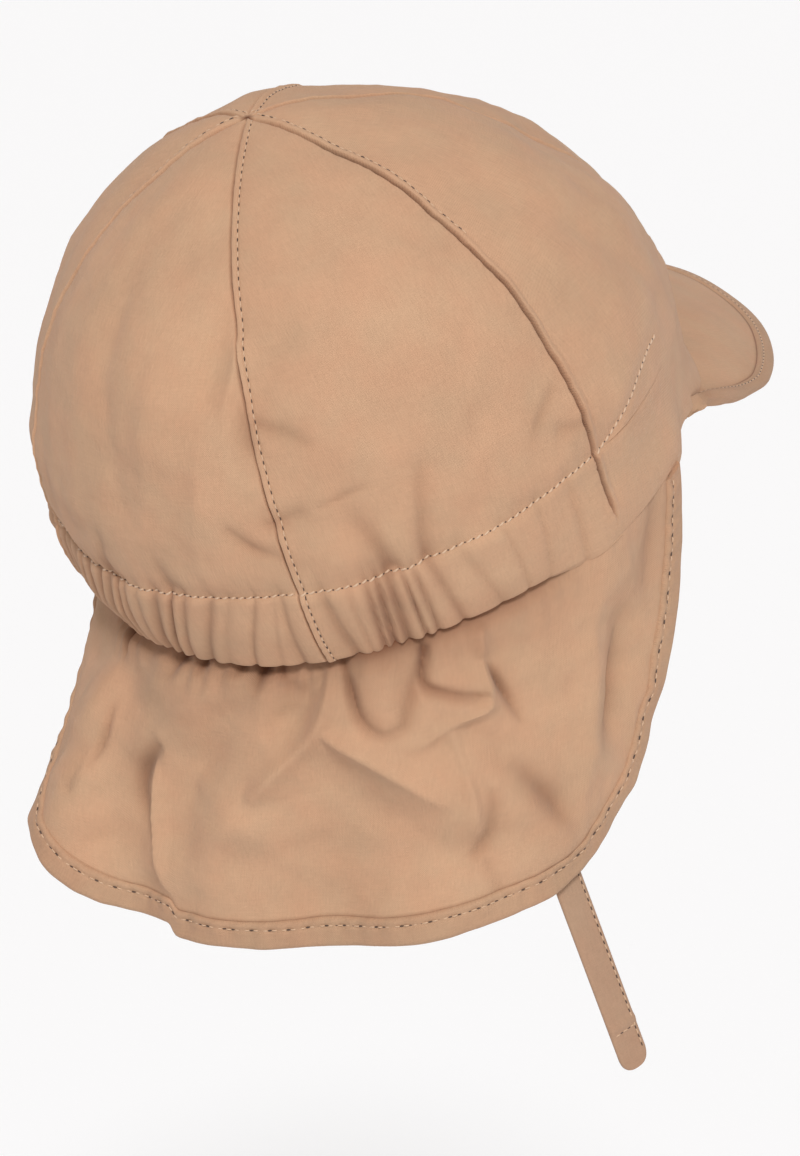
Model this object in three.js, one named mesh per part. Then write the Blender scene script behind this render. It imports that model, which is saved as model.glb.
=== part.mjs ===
import * as THREE from "three";

// Legionnaire cap in soft cotton: six gores, an elastic channel round the back, a curved visor in
// front and a neck flap behind. Millimetres, +Z up, visor towards -Y, wearer's right towards -X.
// Angles go round the head in degrees, from 0 at the back through 90 at the wearer's right ear.

// Head opening and crown, measured at the line of stitching above the elastic channel
const HALF_WIDTH = 76;
const HALF_LENGTH = 83.6;
const CROWN_HEIGHT = 80;
const APEX_SET_BACK = 10.9;
const APEX_RADIUS = 1.1;
const CLOTH = 1.2;
const SEAM_GAP = 0.3;
// The worn cap sits with its visor up and its neck flap down
const PITCH = 12;

// Powers of the crown's profile, reach ** plan + height ** rise = 1
const BACK_PROFILE = { plan: 1.79, rise: 2.54 };
const FRONT_PROFILE = { plan: 1.64, rise: 1.23 };

// Elastic channel, gathered between the two ends of its elastic
const CHANNEL_HEIGHT = 22;
const CHANNEL_DRAW_IN = 4.3;
const CHANNEL_PUFF = 1.3;
const CHANNEL_END = 81;
const GATHER_DEPTH = 1;
const GATHER_PITCH = 6;
const GATHER_RISE = 0.16;

// Seams between the gores, and how far each gore swells between its seams
const SEAMS = { left: -63, back: 0, right: 57, frontRight: 119, front: 176, frontLeft: 242 };
const BACK_PUFF = 2;
const SIDE_PUFF = 2.4;
const FRONT_PUFF = 3.4;

// Neck flap: how far it hangs from the channel, where its straight bottom edge and its ends lie, how
// far round and how deep its front edges turn forward at their top, and how it leans as it hangs, as
// slopes towards the wearer's left and back
const FLAP_DROP = 73.8;
const FLAP_STRAIGHT = 34;
const FLAP_END = 80.5;
const FLAP_TOP_TURN = 4;
const FLAP_TOP_FADE = 12;
const FLAP_LEAN_LEFT = 0.265;
const FLAP_LEAN_BACK = 0.098;
const FLAP_TUCK = 1;
const FLAP_TUCK_FADE = 8;
// Slope outwards, and the share of the drop that soft folds take up, round the flap
const FLAP_HANG = [
  { angle: -81, flare: -0.12, takeUp: 0.03 },
  { angle: -66, flare: 0.32, takeUp: 0.06 },
  { angle: -52, flare: 0.57, takeUp: 0.06 },
  { angle: -38, flare: 0.18, takeUp: 0.05 },
  { angle: -26, flare: 0.2, takeUp: 0.045 },
  { angle: -14, flare: 0.17, takeUp: 0.035 },
  { angle: 0, flare: 0.14, takeUp: 0.035 },
  { angle: 20, flare: 0.28, takeUp: 0.04 },
  { angle: 40, flare: 0.22, takeUp: 0.01 },
  { angle: 60, flare: 0.15, takeUp: 0.01 },
  { angle: 81, flare: 0.22, takeUp: 0.03 },
];
// Folds of the flap, each from one place to another: drops, width and height are shares of its drop
const FLAP_FOLDS = [
  { angle: -1, drop: 0.13, toAngle: -16, toDrop: 0.5, width: 0.1, height: 0.035 },
  { angle: 0, drop: 0.18, toAngle: 21, toDrop: 0.58, width: 0.1, height: 0.035 },
  { angle: 24, drop: 0.25, toAngle: 40, toDrop: 0.8, width: 0.11, height: 0.045 },
  { angle: -36, drop: 0.42, toAngle: -32, toDrop: 0.82, width: 0.09, height: 0.03 },
  { angle: -46, drop: 0.2, toAngle: -43, toDrop: 0.75, width: 0.1, height: -0.045 },
  { angle: -29, drop: 0.5, toAngle: -27, toDrop: 0.95, width: 0.08, height: -0.03 },
  { angle: 30, drop: 0.1, toAngle: 35, toDrop: 0.36, width: 0.09, height: -0.03 },
  { angle: 59, drop: 0.35, toAngle: 52, toDrop: 0.65, width: 0.09, height: -0.035 },
  { angle: -6, drop: 0.1, toAngle: 2, toDrop: 0.85, width: 0.13, height: -0.02 },
];

// Folds of the crown, each from one place to another: levels are shares of the way from the apex to
// the channel, width and height are shares of the crown's height
const CROWN_FOLDS = [
  { angle: -5, level: 0.4, toAngle: -3, toLevel: 0.6, width: 0.07, height: -0.015 },
  { angle: 4, level: 0.72, toAngle: 17, toLevel: 0.86, width: 0.06, height: -0.015 },
  { angle: 29, level: 0.78, toAngle: 22, toLevel: 1, width: 0.07, height: 0.018 },
  { angle: 49, level: 0.35, toAngle: 53, toLevel: 0.75, width: 0.1, height: 0.018 },
  { angle: -30, level: 0.8, toAngle: -33, toLevel: 1, width: 0.07, height: 0.015 },
  { angle: 75, level: 0.55, toAngle: 88, toLevel: 0.9, width: 0.12, height: -0.015 },
];

// Visor: two cloths on a stiffener, with its outer edge given round the front, 0 at the middle of
// the front, as shares of its reach to the side, ahead and down
const VISOR_REACH = 52;
const VISOR_THICKNESS = 2.4;
const VISOR_CAMBER = 3;
const VISOR_LEAST_SHARE = 0.15;
const VISOR_EDGE = [
  { angle: 0, side: 0, ahead: 1, drop: 0.5 },
  { angle: 15, side: 0.16, ahead: 1.02, drop: 0.54 },
  { angle: 30, side: 0.3, ahead: 0.98, drop: 0.6 },
  { angle: 45, side: 0.33, ahead: 0.9, drop: 0.64 },
  { angle: 60, side: 0.32, ahead: 0.77, drop: 0.6 },
  { angle: 75, side: 0.26, ahead: 0.56, drop: 0.45 },
  { angle: 80, side: 0.18, ahead: 0.42, drop: 0.33 },
  { angle: 84, side: 0.15, ahead: 0.31, drop: 0.22 },
  { angle: 87, side: 0.1, ahead: 0.21, drop: 0.1 },
  { angle: 90, side: 0.05, ahead: 0.12, drop: 0.01 },
];

// Folded binding round the flap and the visor
const BINDING_WIDTH = 7.5;
const BINDING_CLOTH = 0.8;
const BINDING_TURNED_SIDES = [3, 7];

// Chin strap: a long free end from the right of the channel, and a short tab on the left, each
// swinging a little to the wearer's right
const STRAP_WIDTH = 8;
const STRAP_THICKNESS = 1.6;
const STRAP_CLEARANCE = 0.5;
const STRAP_ANGLE = 41.5;
const STRAP_DRIFT = 1;
const STRAP_SWING = 0.095;
const STRAP_SEWN = 7;
const STRAP_SHOWN = 51;
const ROUND_END = [30, 60, 85];
const TAB_LENGTH = 42;
const PATCH_LENGTH = 20;
const PATCH_MARGIN = 1.4;
const PATCH_THICKNESS = 0.9;

// Steps of the meshes
const CROWN_ROWS = 8;
const CHANNEL_ROWS = 3;
const BACK_COLUMNS = 38;
const FRONT_COLUMNS = 12;
const EAR_COLUMNS = 6;
const TEMPLE_COLUMNS = 9;
const FLAP_ROWS = 9;
const FLAP_COLUMNS = 42;
const VISOR_ROWS = 3;
const VISOR_COLUMNS = 30;
const STRAP_STEP = 7;

const { degToRad, radToDeg, lerp, clamp, smoothstep } = THREE.MathUtils;
const mmPerDegree = degToRad((HALF_WIDTH + HALF_LENGTH) / 2);

// Whole steps from a first to a last value, both included
function steps(first, last, count) {
  return Array.from({ length: count + 1 }, (_, i) => lerp(first, last, i / count));
}

function outward(angle) {
  return new THREE.Vector3(-Math.sin(degToRad(angle)), Math.cos(degToRad(angle)), 0);
}

// A smooth curve through one column of a table whose first column is an angle
function tableCurve(rows, column) {
  const last = rows.length - 1;
  const slopes = rows.map((row, i) => {
    const before = rows[Math.max(i - 1, 0)];
    const after = rows[Math.min(i + 1, last)];
    return (after[column] - before[column]) / (after.angle - before.angle);
  });
  return (angle) => {
    const beyond = rows.findIndex((row) => row.angle > angle);
    const high = clamp(beyond < 0 ? last : beyond, 1, last);
    const from = rows[high - 1];
    const to = rows[high];
    const span = to.angle - from.angle;
    const share = clamp((angle - from.angle) / span, 0, 1);
    const rest = 1 - share;
    const bend = span * share * rest * (slopes[high - 1] * rest - slopes[high] * share);
    return lerp(from[column], to[column], share * share * (3 - 2 * share)) + bend;
  };
}

// The smooth crown and channel: level 0 at the apex, 1 at the stitching, 2 at the channel's lower edge
function profileAt(angle) {
  const back = (1 + Math.cos(degToRad(angle))) / 2;
  return {
    plan: lerp(FRONT_PROFILE.plan, BACK_PROFILE.plan, back),
    rise: lerp(FRONT_PROFILE.rise, BACK_PROFILE.rise, back),
  };
}

function smoothWall(angle, level) {
  const { plan, rise } = profileAt(angle);
  const turn = (Math.min(level, 1) * Math.PI) / 2;
  const down = Math.max(level - 1, 0);
  const reach = Math.sin(turn) ** (2 / plan);
  const height = Math.max(Math.cos(turn), 0) ** (2 / rise);
  const out = outward(angle);
  return new THREE.Vector3(
    HALF_WIDTH * reach * out.x,
    HALF_LENGTH * reach * out.y + APEX_SET_BACK * (1 - reach),
    CROWN_HEIGHT * height - CHANNEL_HEIGHT * down,
  ).addScaledVector(out, -CHANNEL_DRAW_IN * down);
}

// The smooth flap, by the angle round the head and the drop down the cloth
const flareAt = tableCurve(FLAP_HANG, "flare");
const takeUpAt = tableCurve(FLAP_HANG, "takeUp");

function smoothFlap(angle, drop) {
  const hang = new THREE.Vector3(FLAP_LEAN_LEFT, FLAP_LEAN_BACK, -1)
    .addScaledVector(outward(angle), flareAt(angle))
    .normalize();
  return smoothWall(angle, 2).addScaledVector(hang, drop * (1 - takeUpAt(angle)));
}

// A point moved out from a smooth surface, square to it
function raised(surface, across, down, height) {
  const small = 0.01;
  const around = surface(across + small, down).sub(surface(across - small, down));
  const fall = surface(across, down + small).sub(surface(across, down - small));
  return surface(across, down).addScaledVector(fall.cross(around).normalize(), height);
}

// Soft ridges and valleys, each along a straight line between two points of a smooth surface
function foldSet(folds, surface, size, level, toLevel) {
  const lines = folds.map((fold) => ({
    line: new THREE.Line3(
      surface(fold.angle, fold[level] * size.level),
      surface(fold.toAngle, fold[toLevel] * size.level),
    ),
    width: fold.width * size.length,
    height: fold.height * size.length,
  }));
  return (point) =>
    lines.reduce((sum, { line, width, height }) => {
      const nearest = line.closestPointToPoint(point, true, new THREE.Vector3());
      return sum + height * Math.exp(-((nearest.distanceTo(point) / width) ** 2));
    }, 0);
}

const crownFolds = foldSet(
  CROWN_FOLDS,
  smoothWall,
  { level: 1, length: CROWN_HEIGHT },
  "level",
  "toLevel",
);
const flapFolds = foldSet(
  FLAP_FOLDS,
  smoothFlap,
  { level: FLAP_DROP, length: FLAP_DROP },
  "drop",
  "toDrop",
);

// The elastic pulls fully across the back gores, and less and less towards its ends
function elasticShare(angle) {
  return 1 - smoothstep(Math.abs(angle), SEAMS.right, CHANNEL_END);
}

// Gathers over the channel and just above it, with a valley at each seam
function gathers(angle, level, gore) {
  const size = GATHER_DEPTH * smoothstep(level, 1 - GATHER_RISE, 1) * elasticShare(angle);
  const width = gore.to - gore.from;
  const turns = Math.round(width / GATHER_PITCH) * ((angle - gore.from) / width);
  return -size * Math.cos(2 * Math.PI * turns);
}

function wallPoint(angle, level, gore) {
  const share = clamp((angle - gore.from) / (gore.to - gore.from), 0, 1);
  const swell = gore.puff * Math.sin(Math.PI * share) * Math.sin(Math.PI * Math.min(level, 1));
  const down = Math.max(level - 1, 0);
  const channel = CHANNEL_PUFF * elasticShare(angle) * Math.sin(Math.PI * down);
  const folds = crownFolds(smoothWall(angle, level)) * (1 - down);
  const ripple = gore.gathered * gathers(angle, level, gore);
  return raised(smoothWall, angle, level, swell + channel + folds + ripple);
}

function flapPoint(angle, drop) {
  const back = 1 - smoothstep(Math.abs(angle), STRAP_ANGLE, SEAMS.right);
  const tuck = FLAP_TUCK * back * (1 - smoothstep(drop, 0, FLAP_TUCK_FADE));
  const folds = flapFolds(smoothFlap(angle, drop)) * smoothstep(drop, 0, FLAP_TUCK_FADE);
  return raised(smoothFlap, angle, drop, folds - tuck);
}

// A closed mesh from corner points and triangles
function meshGeometry(points, triangles) {
  const geometry = new THREE.BufferGeometry().setFromPoints(points);
  geometry.setIndex(triangles.flat());
  geometry.computeVertexNormals();
  return geometry;
}

// A quad as two triangles, split from its first corner to its third
function split([a, b, c, d]) {
  return [
    [a, b, c],
    [a, c, d],
  ];
}

// A cloth wall: quads over its outer face, the same quads a thickness further in, and its cut edge
function clothWall(outer, quads, thickness) {
  const count = outer.length;
  const normals = outer.map(() => new THREE.Vector3());
  for (const quad of quads) {
    const acrossOne = outer[quad[2]].clone().sub(outer[quad[0]]);
    const acrossTwo = outer[quad[3]].clone().sub(outer[quad[1]]);
    const normal = acrossOne.cross(acrossTwo);
    quad.forEach((corner) => normals[corner].add(normal));
  }
  const inner = outer.map((point, i) => point.clone().addScaledVector(normals[i].normalize(), -thickness));
  const edges = new Map();
  for (const quad of quads) {
    quad.forEach((from, i) => {
      const to = quad[(i + 1) % 4];
      if (!edges.delete(to + "," + from)) edges.set(from + "," + to, [from, to]);
    });
  }
  const faces = quads.flatMap(split);
  const triangles = [
    ...faces,
    ...faces.map(([a, b, c]) => [a + count, c + count, b + count]),
    ...[...edges.values()].flatMap(([from, to]) => split([to, from, from + count, to + count])),
  ];
  return { geometry: meshGeometry([...outer, ...inner], triangles), outer, inner };
}

// A closed bar through rings of points, each ring turning leftwards about the way ahead
function bar(rings, capQuads, turnedSides = []) {
  const size = rings[0].length;
  const triangles = [];
  for (let i = 0; i + 1 < rings.length; i += 1) {
    for (let side = 0; side < size; side += 1) {
      const near = i * size + side;
      const next = i * size + ((side + 1) % size);
      const quad = [near, next, next + size, near + size];
      const turned = turnedSides.includes(side);
      triangles.push(...split(turned ? [...quad.slice(1), quad[0]] : quad));
    }
  }
  const last = (rings.length - 1) * size;
  for (const quad of capQuads) {
    triangles.push(...split([...quad].reverse()));
    triangles.push(...split(quad.map((corner) => corner + last)));
  }
  return meshGeometry(rings.flat(), triangles);
}

// Rows of levels down the crown and the channel
const apexLevel = (2 / Math.PI) * Math.asin((APEX_RADIUS / HALF_WIDTH) ** (BACK_PROFILE.plan / 2));

function wallLevels(lowest) {
  const crown = steps(apexLevel, 1, CROWN_ROWS);
  const channel = steps(1, lowest, CHANNEL_ROWS);
  return [...crown, ...channel.slice(1)];
}

// Half of a seam's gap as an angle, wider towards the apex
function seamInset(angle, level) {
  const spot = smoothWall(angle, level);
  const reach = Math.sin((Math.min(level, 1) * Math.PI) / 2) ** (2 / profileAt(angle).plan);
  const middle = new THREE.Vector3(0, APEX_SET_BACK * (1 - reach), spot.z);
  return radToDeg(SEAM_GAP / 2 / spot.distanceTo(middle));
}

// One corner of a gore, whose width is drawn in a little to leave the seams' gaps
function gorePoint(gore, angle, level) {
  const inset = seamInset(angle, level);
  const share = (angle - gore.from) / (gore.to - gore.from);
  return wallPoint(lerp(gore.from + inset, gore.to - inset, share), level, gore);
}

// The flap's outline in the flat, set in by a margin: a straight bottom with a quarter ellipse at
// each end. Place 0 is the middle of the bottom, 1 the corner and 2 the top of the front edge
function flapOutline(place, margin) {
  const bottom = FLAP_DROP - margin;
  const reach = FLAP_END - FLAP_STRAIGHT - margin / mmPerDegree;
  const straightShare = 0.45;
  const bend = clamp((Math.min(place, 1) - straightShare) / (1 - straightShare), 0, 1);
  const turn = (Math.PI / 4) * (bend + Math.max(place - 1, 0));
  const straight = FLAP_STRAIGHT * Math.min(place / straightShare, 1);
  const drop = bottom * Math.cos(turn);
  const forward = FLAP_TOP_TURN * Math.exp(-drop / FLAP_TOP_FADE);
  return { angle: straight + reach * Math.sin(turn) + forward, drop };
}

// A place inside the flap's outline, with across 0 at the back and 1 at the front edge, down 0 to 1
function insideFlap(across, down, margin) {
  const top = flapOutline(2, margin).angle;
  const side = flapOutline(2 - down, margin);
  const bottom = flapOutline(across, margin);
  const corner = flapOutline(1, margin);
  const middle = flapOutline(0, margin).drop;
  const blend = (topEdge, bottomEdge, back, front, corners) =>
    lerp(topEdge, bottomEdge, down) + lerp(back, front, across) - corners;
  return {
    angle: blend(top * across, bottom.angle, 0, side.angle, lerp(top, corner.angle, down) * across),
    drop: blend(0, bottom.drop, middle * down, side.drop, lerp(middle, corner.drop, across) * down),
  };
}

// Cloth points are kept in one list while columns of quads join them up
class ClothPlan {
  points = [];
  quads = [];

  add(point) {
    return this.points.push(point) - 1;
  }

  // quads between columns that run downwards, one after another round the head
  join(columns) {
    columns.slice(1).forEach((right, i) => {
      const left = columns[i];
      for (let j = 0; j + 1 < right.length; j += 1) {
        this.quads.push([left[j], left[j + 1], right[j + 1], right[j]]);
      }
    });
  }

  wall(thickness) {
    return clothWall(this.points, this.quads, thickness);
  }
}

function gorePanel(gore, columns) {
  const plan = new ClothPlan();
  const levels = wallLevels(gore.lowest);
  plan.join(
    steps(gore.from, gore.to, columns).map((angle) =>
      levels.map((level) => plan.add(gorePoint(gore, angle, level))),
    ),
  );
  return plan.wall(CLOTH).geometry;
}

// Side gores and neck flap are cut in one: the flap's cloth runs up into both side gores
const bindingMargin = SEAM_GAP + BINDING_CLOTH;
const flapLine = flapOutline(2, BINDING_WIDTH).angle;
const flapEdge = flapOutline(2, bindingMargin).angle;

function neckFlapCloth(rightGore, leftGore) {
  const plan = new ClothPlan();
  const tops = [
    ...steps(-flapLine, SEAMS.left, EAR_COLUMNS).slice(0, -1),
    ...steps(SEAMS.left, SEAMS.right, FLAP_COLUMNS),
    ...steps(SEAMS.right, flapLine, EAR_COLUMNS).slice(1),
  ];
  const columns = tops.map((top) =>
    steps(0, 1, FLAP_ROWS).map((down) => {
      const { angle, drop } = insideFlap(Math.abs(top) / flapLine, down, BINDING_WIDTH);
      return plan.add(flapPoint(Math.sign(top) * angle, drop));
    }),
  );
  plan.join(columns);

  // the cloth inside the binding, from the left front edge round the bottom to the right
  const line = [
    ...columns[0],
    ...columns.slice(1, -1).map((column) => column[FLAP_ROWS]),
    ...[...columns.at(-1)].reverse(),
  ];
  const places = [
    ...steps(-2, -1, FLAP_ROWS),
    ...tops.slice(1, -1).map((top) => top / flapLine),
    ...steps(1, 2, FLAP_ROWS),
  ];
  const edge = places.map((place) => {
    const { angle, drop } = flapOutline(Math.abs(place), bindingMargin);
    return plan.add(flapPoint(Math.sign(place) * angle, drop));
  });
  plan.join(line.map((spot, i) => [spot, edge[i]]));

  // each side gore stands on the top of the flap as far as that reaches, and ends free beyond it
  const levels = wallLevels(2).slice(0, -1);
  const side = (gore, angles, feet) => {
    plan.join(
      angles.map((angle, i) => [
        ...levels.map((level) => plan.add(gorePoint(gore, angle, level))),
        feet[i] ?? plan.add(gorePoint(gore, angle, 2)),
      ]),
    );
  };
  const temple = steps(flapEdge, rightGore.to, TEMPLE_COLUMNS);
  const leftTemple = steps(leftGore.from, -flapEdge, TEMPLE_COLUMNS);
  const feet = columns.map((column) => column[0]);
  const free = Array(TEMPLE_COLUMNS).fill(null);
  side(
    rightGore,
    [...tops.slice(-EAR_COLUMNS - 1), ...temple],
    [...feet.slice(-EAR_COLUMNS - 1), edge.at(-1), ...free],
  );
  side(
    leftGore,
    [...leftTemple, ...tops.slice(0, EAR_COLUMNS + 1)],
    [...free, edge[0], ...feet.slice(0, EAR_COLUMNS + 1)],
  );
  return { ...plan.wall(CLOTH), line, edge };
}

// Visor: a curved sheet from the crown's lower edge to its outer edge, angles from the front
const visorSide = tableCurve(VISOR_EDGE, "side");
const visorAhead = tableCurve(VISOR_EDGE, "ahead");
const visorDrop = tableCurve(VISOR_EDGE, "drop");
const visorEnd = VISOR_EDGE.at(-1).angle;

function visorRun(angle) {
  const away = Math.abs(angle);
  return new THREE.Vector3(
    Math.sign(angle) * visorSide(away),
    -visorAhead(away),
    -visorDrop(away),
  ).multiplyScalar(VISOR_REACH);
}

function visorPoint(angle, share) {
  const root = smoothWall(180 + angle, 2);
  const run = visorRun(angle);
  const camber = VISOR_CAMBER * (run.length() / VISOR_REACH) * Math.sin(Math.PI * share);
  root.z += camber - SEAM_GAP;
  return root.addScaledVector(run, share);
}

function visorCloth() {
  const plan = new ClothPlan();
  const columns = steps(-visorEnd, visorEnd, VISOR_COLUMNS).map((angle) => {
    const length = visorRun(angle).length();
    const line = Math.max(1 - BINDING_WIDTH / length, VISOR_LEAST_SHARE);
    const shares = [...steps(0, line, VISOR_ROWS), 1 - bindingMargin / length];
    return shares.map((share) => plan.add(visorPoint(angle, share)));
  });
  plan.join(columns);
  const line = columns.map((column) => column[VISOR_ROWS]);
  const edge = columns.map((column) => column[VISOR_ROWS + 1]);
  return { ...plan.wall(VISOR_THICKNESS), line, edge };
}

// Folded binding over a cloth's edge: an outer leg, the fold and an inner leg, clear of the cloth
function binding({ outer, inner, line, edge }) {
  const rings = line.map((lineSpot, i) => {
    const edgeSpot = edge[i];
    const ahead = outer[edgeSpot].clone().add(inner[edgeSpot]);
    ahead.sub(outer[lineSpot]).sub(inner[lineSpot]).normalize();
    const place = (side, other, spot, away, beyond) => {
      const normal = side[spot].clone().sub(other[spot]).normalize();
      return side[spot].clone().addScaledVector(normal, away).addScaledVector(ahead, beyond);
    };
    return [
      place(outer, inner, lineSpot, SEAM_GAP, 0),
      place(outer, inner, lineSpot, bindingMargin, 0),
      place(outer, inner, edgeSpot, bindingMargin, bindingMargin),
      place(inner, outer, edgeSpot, bindingMargin, bindingMargin),
      place(inner, outer, lineSpot, bindingMargin, 0),
      place(inner, outer, lineSpot, SEAM_GAP, 0),
      place(inner, outer, edgeSpot, SEAM_GAP, SEAM_GAP),
      place(outer, inner, edgeSpot, SEAM_GAP, SEAM_GAP),
    ];
  });
  shortenEnd(rings[0], rings[1]);
  shortenEnd(rings.at(-1), rings.at(-2));
  const caps = [
    [0, 1, 2, 7],
    [7, 2, 3, 6],
    [6, 3, 4, 5],
  ];
  return bar(rings, caps, BINDING_TURNED_SIDES);
}

// The end of a binding stops short of the seam that its cloth runs into
function shortenEnd(ring, next) {
  const length = ring[2].distanceTo(next[2]);
  ring.forEach((point, i) => point.lerp(next[i], BINDING_CLOTH / length));
}

// Chin strap: sewn inside the channel, lying against the inside of the flap for the length that it
// hugs, then plumb
const strapInset =
  CLOTH + Math.max(GATHER_DEPTH, FLAP_TUCK, bindingMargin) + STRAP_CLEARANCE + STRAP_THICKNESS / 2;
const plumb = new THREE.Vector3(0, Math.sin(degToRad(PITCH)), -Math.cos(degToRad(PITCH)));
plumb.x = -STRAP_SWING;
plumb.normalize();

function strapSpot({ side, hug }, along, turn = 0) {
  const drop = clamp(along, 0, hug);
  const angle = side * (STRAP_ANGLE - (STRAP_DRIFT * drop) / FLAP_DROP) + turn;
  if (along < 0) return raised(smoothWall, angle, 2 + along / CHANNEL_HEIGHT, -strapInset);
  const valley = Math.min(flapFolds(smoothFlap(angle, drop)), 0);
  const spot = raised(smoothFlap, angle, drop, valley - strapInset);
  return spot.addScaledVector(plumb, along - drop);
}

// A flat tape along a strap, offset outwards from its middle, with a square or a round lower end
function tape(strap, { from, to, width, thickness, offset = 0, round = true }) {
  const full = round ? to - width / 2 : to;
  const hung = Math.max(from, 0);
  const sewn = from < 0 ? [from, from / 2] : [];
  const below = steps(hung, full, Math.ceil((full - hung) / STRAP_STEP));
  const stations = [...sewn, ...below].map((along) => ({ along, width }));
  const turns = round ? ROUND_END.map(degToRad) : [];
  for (const turn of turns) {
    stations.push({ along: full + (width / 2) * Math.sin(turn), width: width * Math.cos(turn) });
  }
  const small = 0.5;
  const rings = stations.map((station) => {
    const spot = strapSpot(strap, station.along);
    const ahead = strapSpot(strap, station.along + small);
    ahead.sub(strapSpot(strap, station.along - small)).normalize();
    const across = strapSpot(strap, station.along, small);
    across.sub(strapSpot(strap, station.along, -small));
    across.addScaledVector(ahead, -across.dot(ahead)).normalize();
    const out = ahead.clone().cross(across);
    const corner = (x, y) =>
      spot
        .clone()
        .addScaledVector(across, (x * station.width) / 2)
        .addScaledVector(out, offset + (y * thickness) / 2);
    return [corner(-1, -1), corner(1, -1), corner(1, 1), corner(-1, 1)];
  });
  return bar(rings, [[0, 1, 2, 3]]);
}

const longStrap = { side: 1, hug: FLAP_DROP, length: FLAP_DROP + STRAP_SHOWN };
const shortTab = { side: -1, hug: 0, length: TAB_LENGTH };

function strapTape(strap) {
  const size = { width: STRAP_WIDTH, thickness: STRAP_THICKNESS };
  return tape(strap, { ...size, from: -STRAP_SEWN, to: strap.length });
}

// Fastener on the strap's end: hooks on one strap's inner face, loops on the other's outer face
function patchTape(strap, face) {
  const to = strap.length - STRAP_WIDTH / 2;
  const offset = face * (STRAP_THICKNESS / 2 + SEAM_GAP + PATCH_THICKNESS / 2);
  const size = { width: STRAP_WIDTH - 2 * PATCH_MARGIN, thickness: PATCH_THICKNESS, round: false };
  return tape(strap, { ...size, from: to - PATCH_LENGTH, to, offset });
}

// The cap, tipped into its worn pose
const gores = {
  backRight: { from: SEAMS.back, to: SEAMS.right, puff: BACK_PUFF, gathered: 1 },
  backLeft: { from: SEAMS.left, to: SEAMS.back, puff: BACK_PUFF, gathered: 1 },
  sideRight: { from: SEAMS.right, to: SEAMS.frontRight, puff: SIDE_PUFF, gathered: 0 },
  sideLeft: { from: SEAMS.frontLeft - 360, to: SEAMS.left, puff: SIDE_PUFF, gathered: 0 },
  frontRight: { from: SEAMS.frontRight, to: SEAMS.front, puff: FRONT_PUFF, gathered: 0 },
  frontLeft: { from: SEAMS.front, to: SEAMS.frontLeft, puff: FRONT_PUFF, gathered: 0 },
};
const backLowest = 2 - SEAM_GAP / CHANNEL_HEIGHT;
const flapCloth = neckFlapCloth(gores.sideRight, gores.sideLeft);
const visorSheet = visorCloth();

const cotton = new THREE.MeshStandardMaterial({ color: 0xc39b78, roughness: 0.9 });
const bindingCotton = new THREE.MeshStandardMaterial({ color: 0xbd9470, roughness: 0.9 });
const nylon = new THREE.MeshStandardMaterial({ color: 0xb89470, roughness: 0.95 });

const cap = new THREE.Group();
cap.rotation.x = -degToRad(PITCH);

function addPiece(name, geometry, material) {
  const mesh = new THREE.Mesh(geometry, material);
  mesh.name = name;
  cap.add(mesh);
}

addPiece("back_panel_right", gorePanel({ ...gores.backRight, lowest: backLowest }, BACK_COLUMNS), cotton);
addPiece("back_panel_left", gorePanel({ ...gores.backLeft, lowest: backLowest }, BACK_COLUMNS), cotton);
addPiece("front_panel_right", gorePanel({ ...gores.frontRight, lowest: 2 }, FRONT_COLUMNS), cotton);
addPiece("front_panel_left", gorePanel({ ...gores.frontLeft, lowest: 2 }, FRONT_COLUMNS), cotton);
addPiece("neck_flap", flapCloth.geometry, cotton);
addPiece("flap_binding", binding(flapCloth), bindingCotton);
addPiece("visor", visorSheet.geometry, cotton);
addPiece("visor_binding", binding(visorSheet), bindingCotton);
addPiece("chin_strap", strapTape(longStrap), bindingCotton);
addPiece("chin_strap_tab", strapTape(shortTab), bindingCotton);
addPiece("strap_hook_patch", patchTape(longStrap, -1), nylon);
addPiece("tab_loop_patch", patchTape(shortTab, 1), nylon);

const row = new THREE.Group();
row.add(cap);

export default row;
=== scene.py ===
import math

import bpy
import numpy as np
from mathutils import Matrix, Vector


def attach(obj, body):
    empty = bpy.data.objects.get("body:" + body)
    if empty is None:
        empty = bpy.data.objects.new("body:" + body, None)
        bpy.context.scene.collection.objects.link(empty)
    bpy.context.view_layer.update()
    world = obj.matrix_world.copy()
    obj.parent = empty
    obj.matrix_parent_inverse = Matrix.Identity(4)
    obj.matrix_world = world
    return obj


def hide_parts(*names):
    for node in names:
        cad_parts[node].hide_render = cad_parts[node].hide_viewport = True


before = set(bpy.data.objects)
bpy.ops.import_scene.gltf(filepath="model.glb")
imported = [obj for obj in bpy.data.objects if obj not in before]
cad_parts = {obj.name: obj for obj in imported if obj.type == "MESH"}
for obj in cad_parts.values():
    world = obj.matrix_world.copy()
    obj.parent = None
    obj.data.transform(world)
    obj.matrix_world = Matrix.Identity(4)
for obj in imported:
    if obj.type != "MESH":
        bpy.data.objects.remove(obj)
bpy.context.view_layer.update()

# Lengths are in millimetres in the cap's own frame until to_row turns them into metres. Angles go
# round the head in degrees, 0 at the back and 90 at the wearer's right ear.
HALF_WIDTH = 76
HALF_LENGTH = 83.6
CROWN_HEIGHT = 80
APEX_SET_BACK = 10.9
APEX_RADIUS = 0.05
CLOTH = 1.2
PITCH = 12
BACK_PROFILE = {"plan": 1.79, "rise": 2.54}
FRONT_PROFILE = {"plan": 1.64, "rise": 1.23}
CROWN_ARC = 122

CHANNEL_HEIGHT = 22
CHANNEL_DRAW_IN = 4.3
CHANNEL_PUFF = 1.6
CHANNEL_END = 81
FRONT_FLARE = 4.5
LOWER_LEVEL = 2.1
# The band's left end stands out a little more than the right one
LEFT_END_FILL = 2.2
LEFT_END_ANGLE = -72
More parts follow.
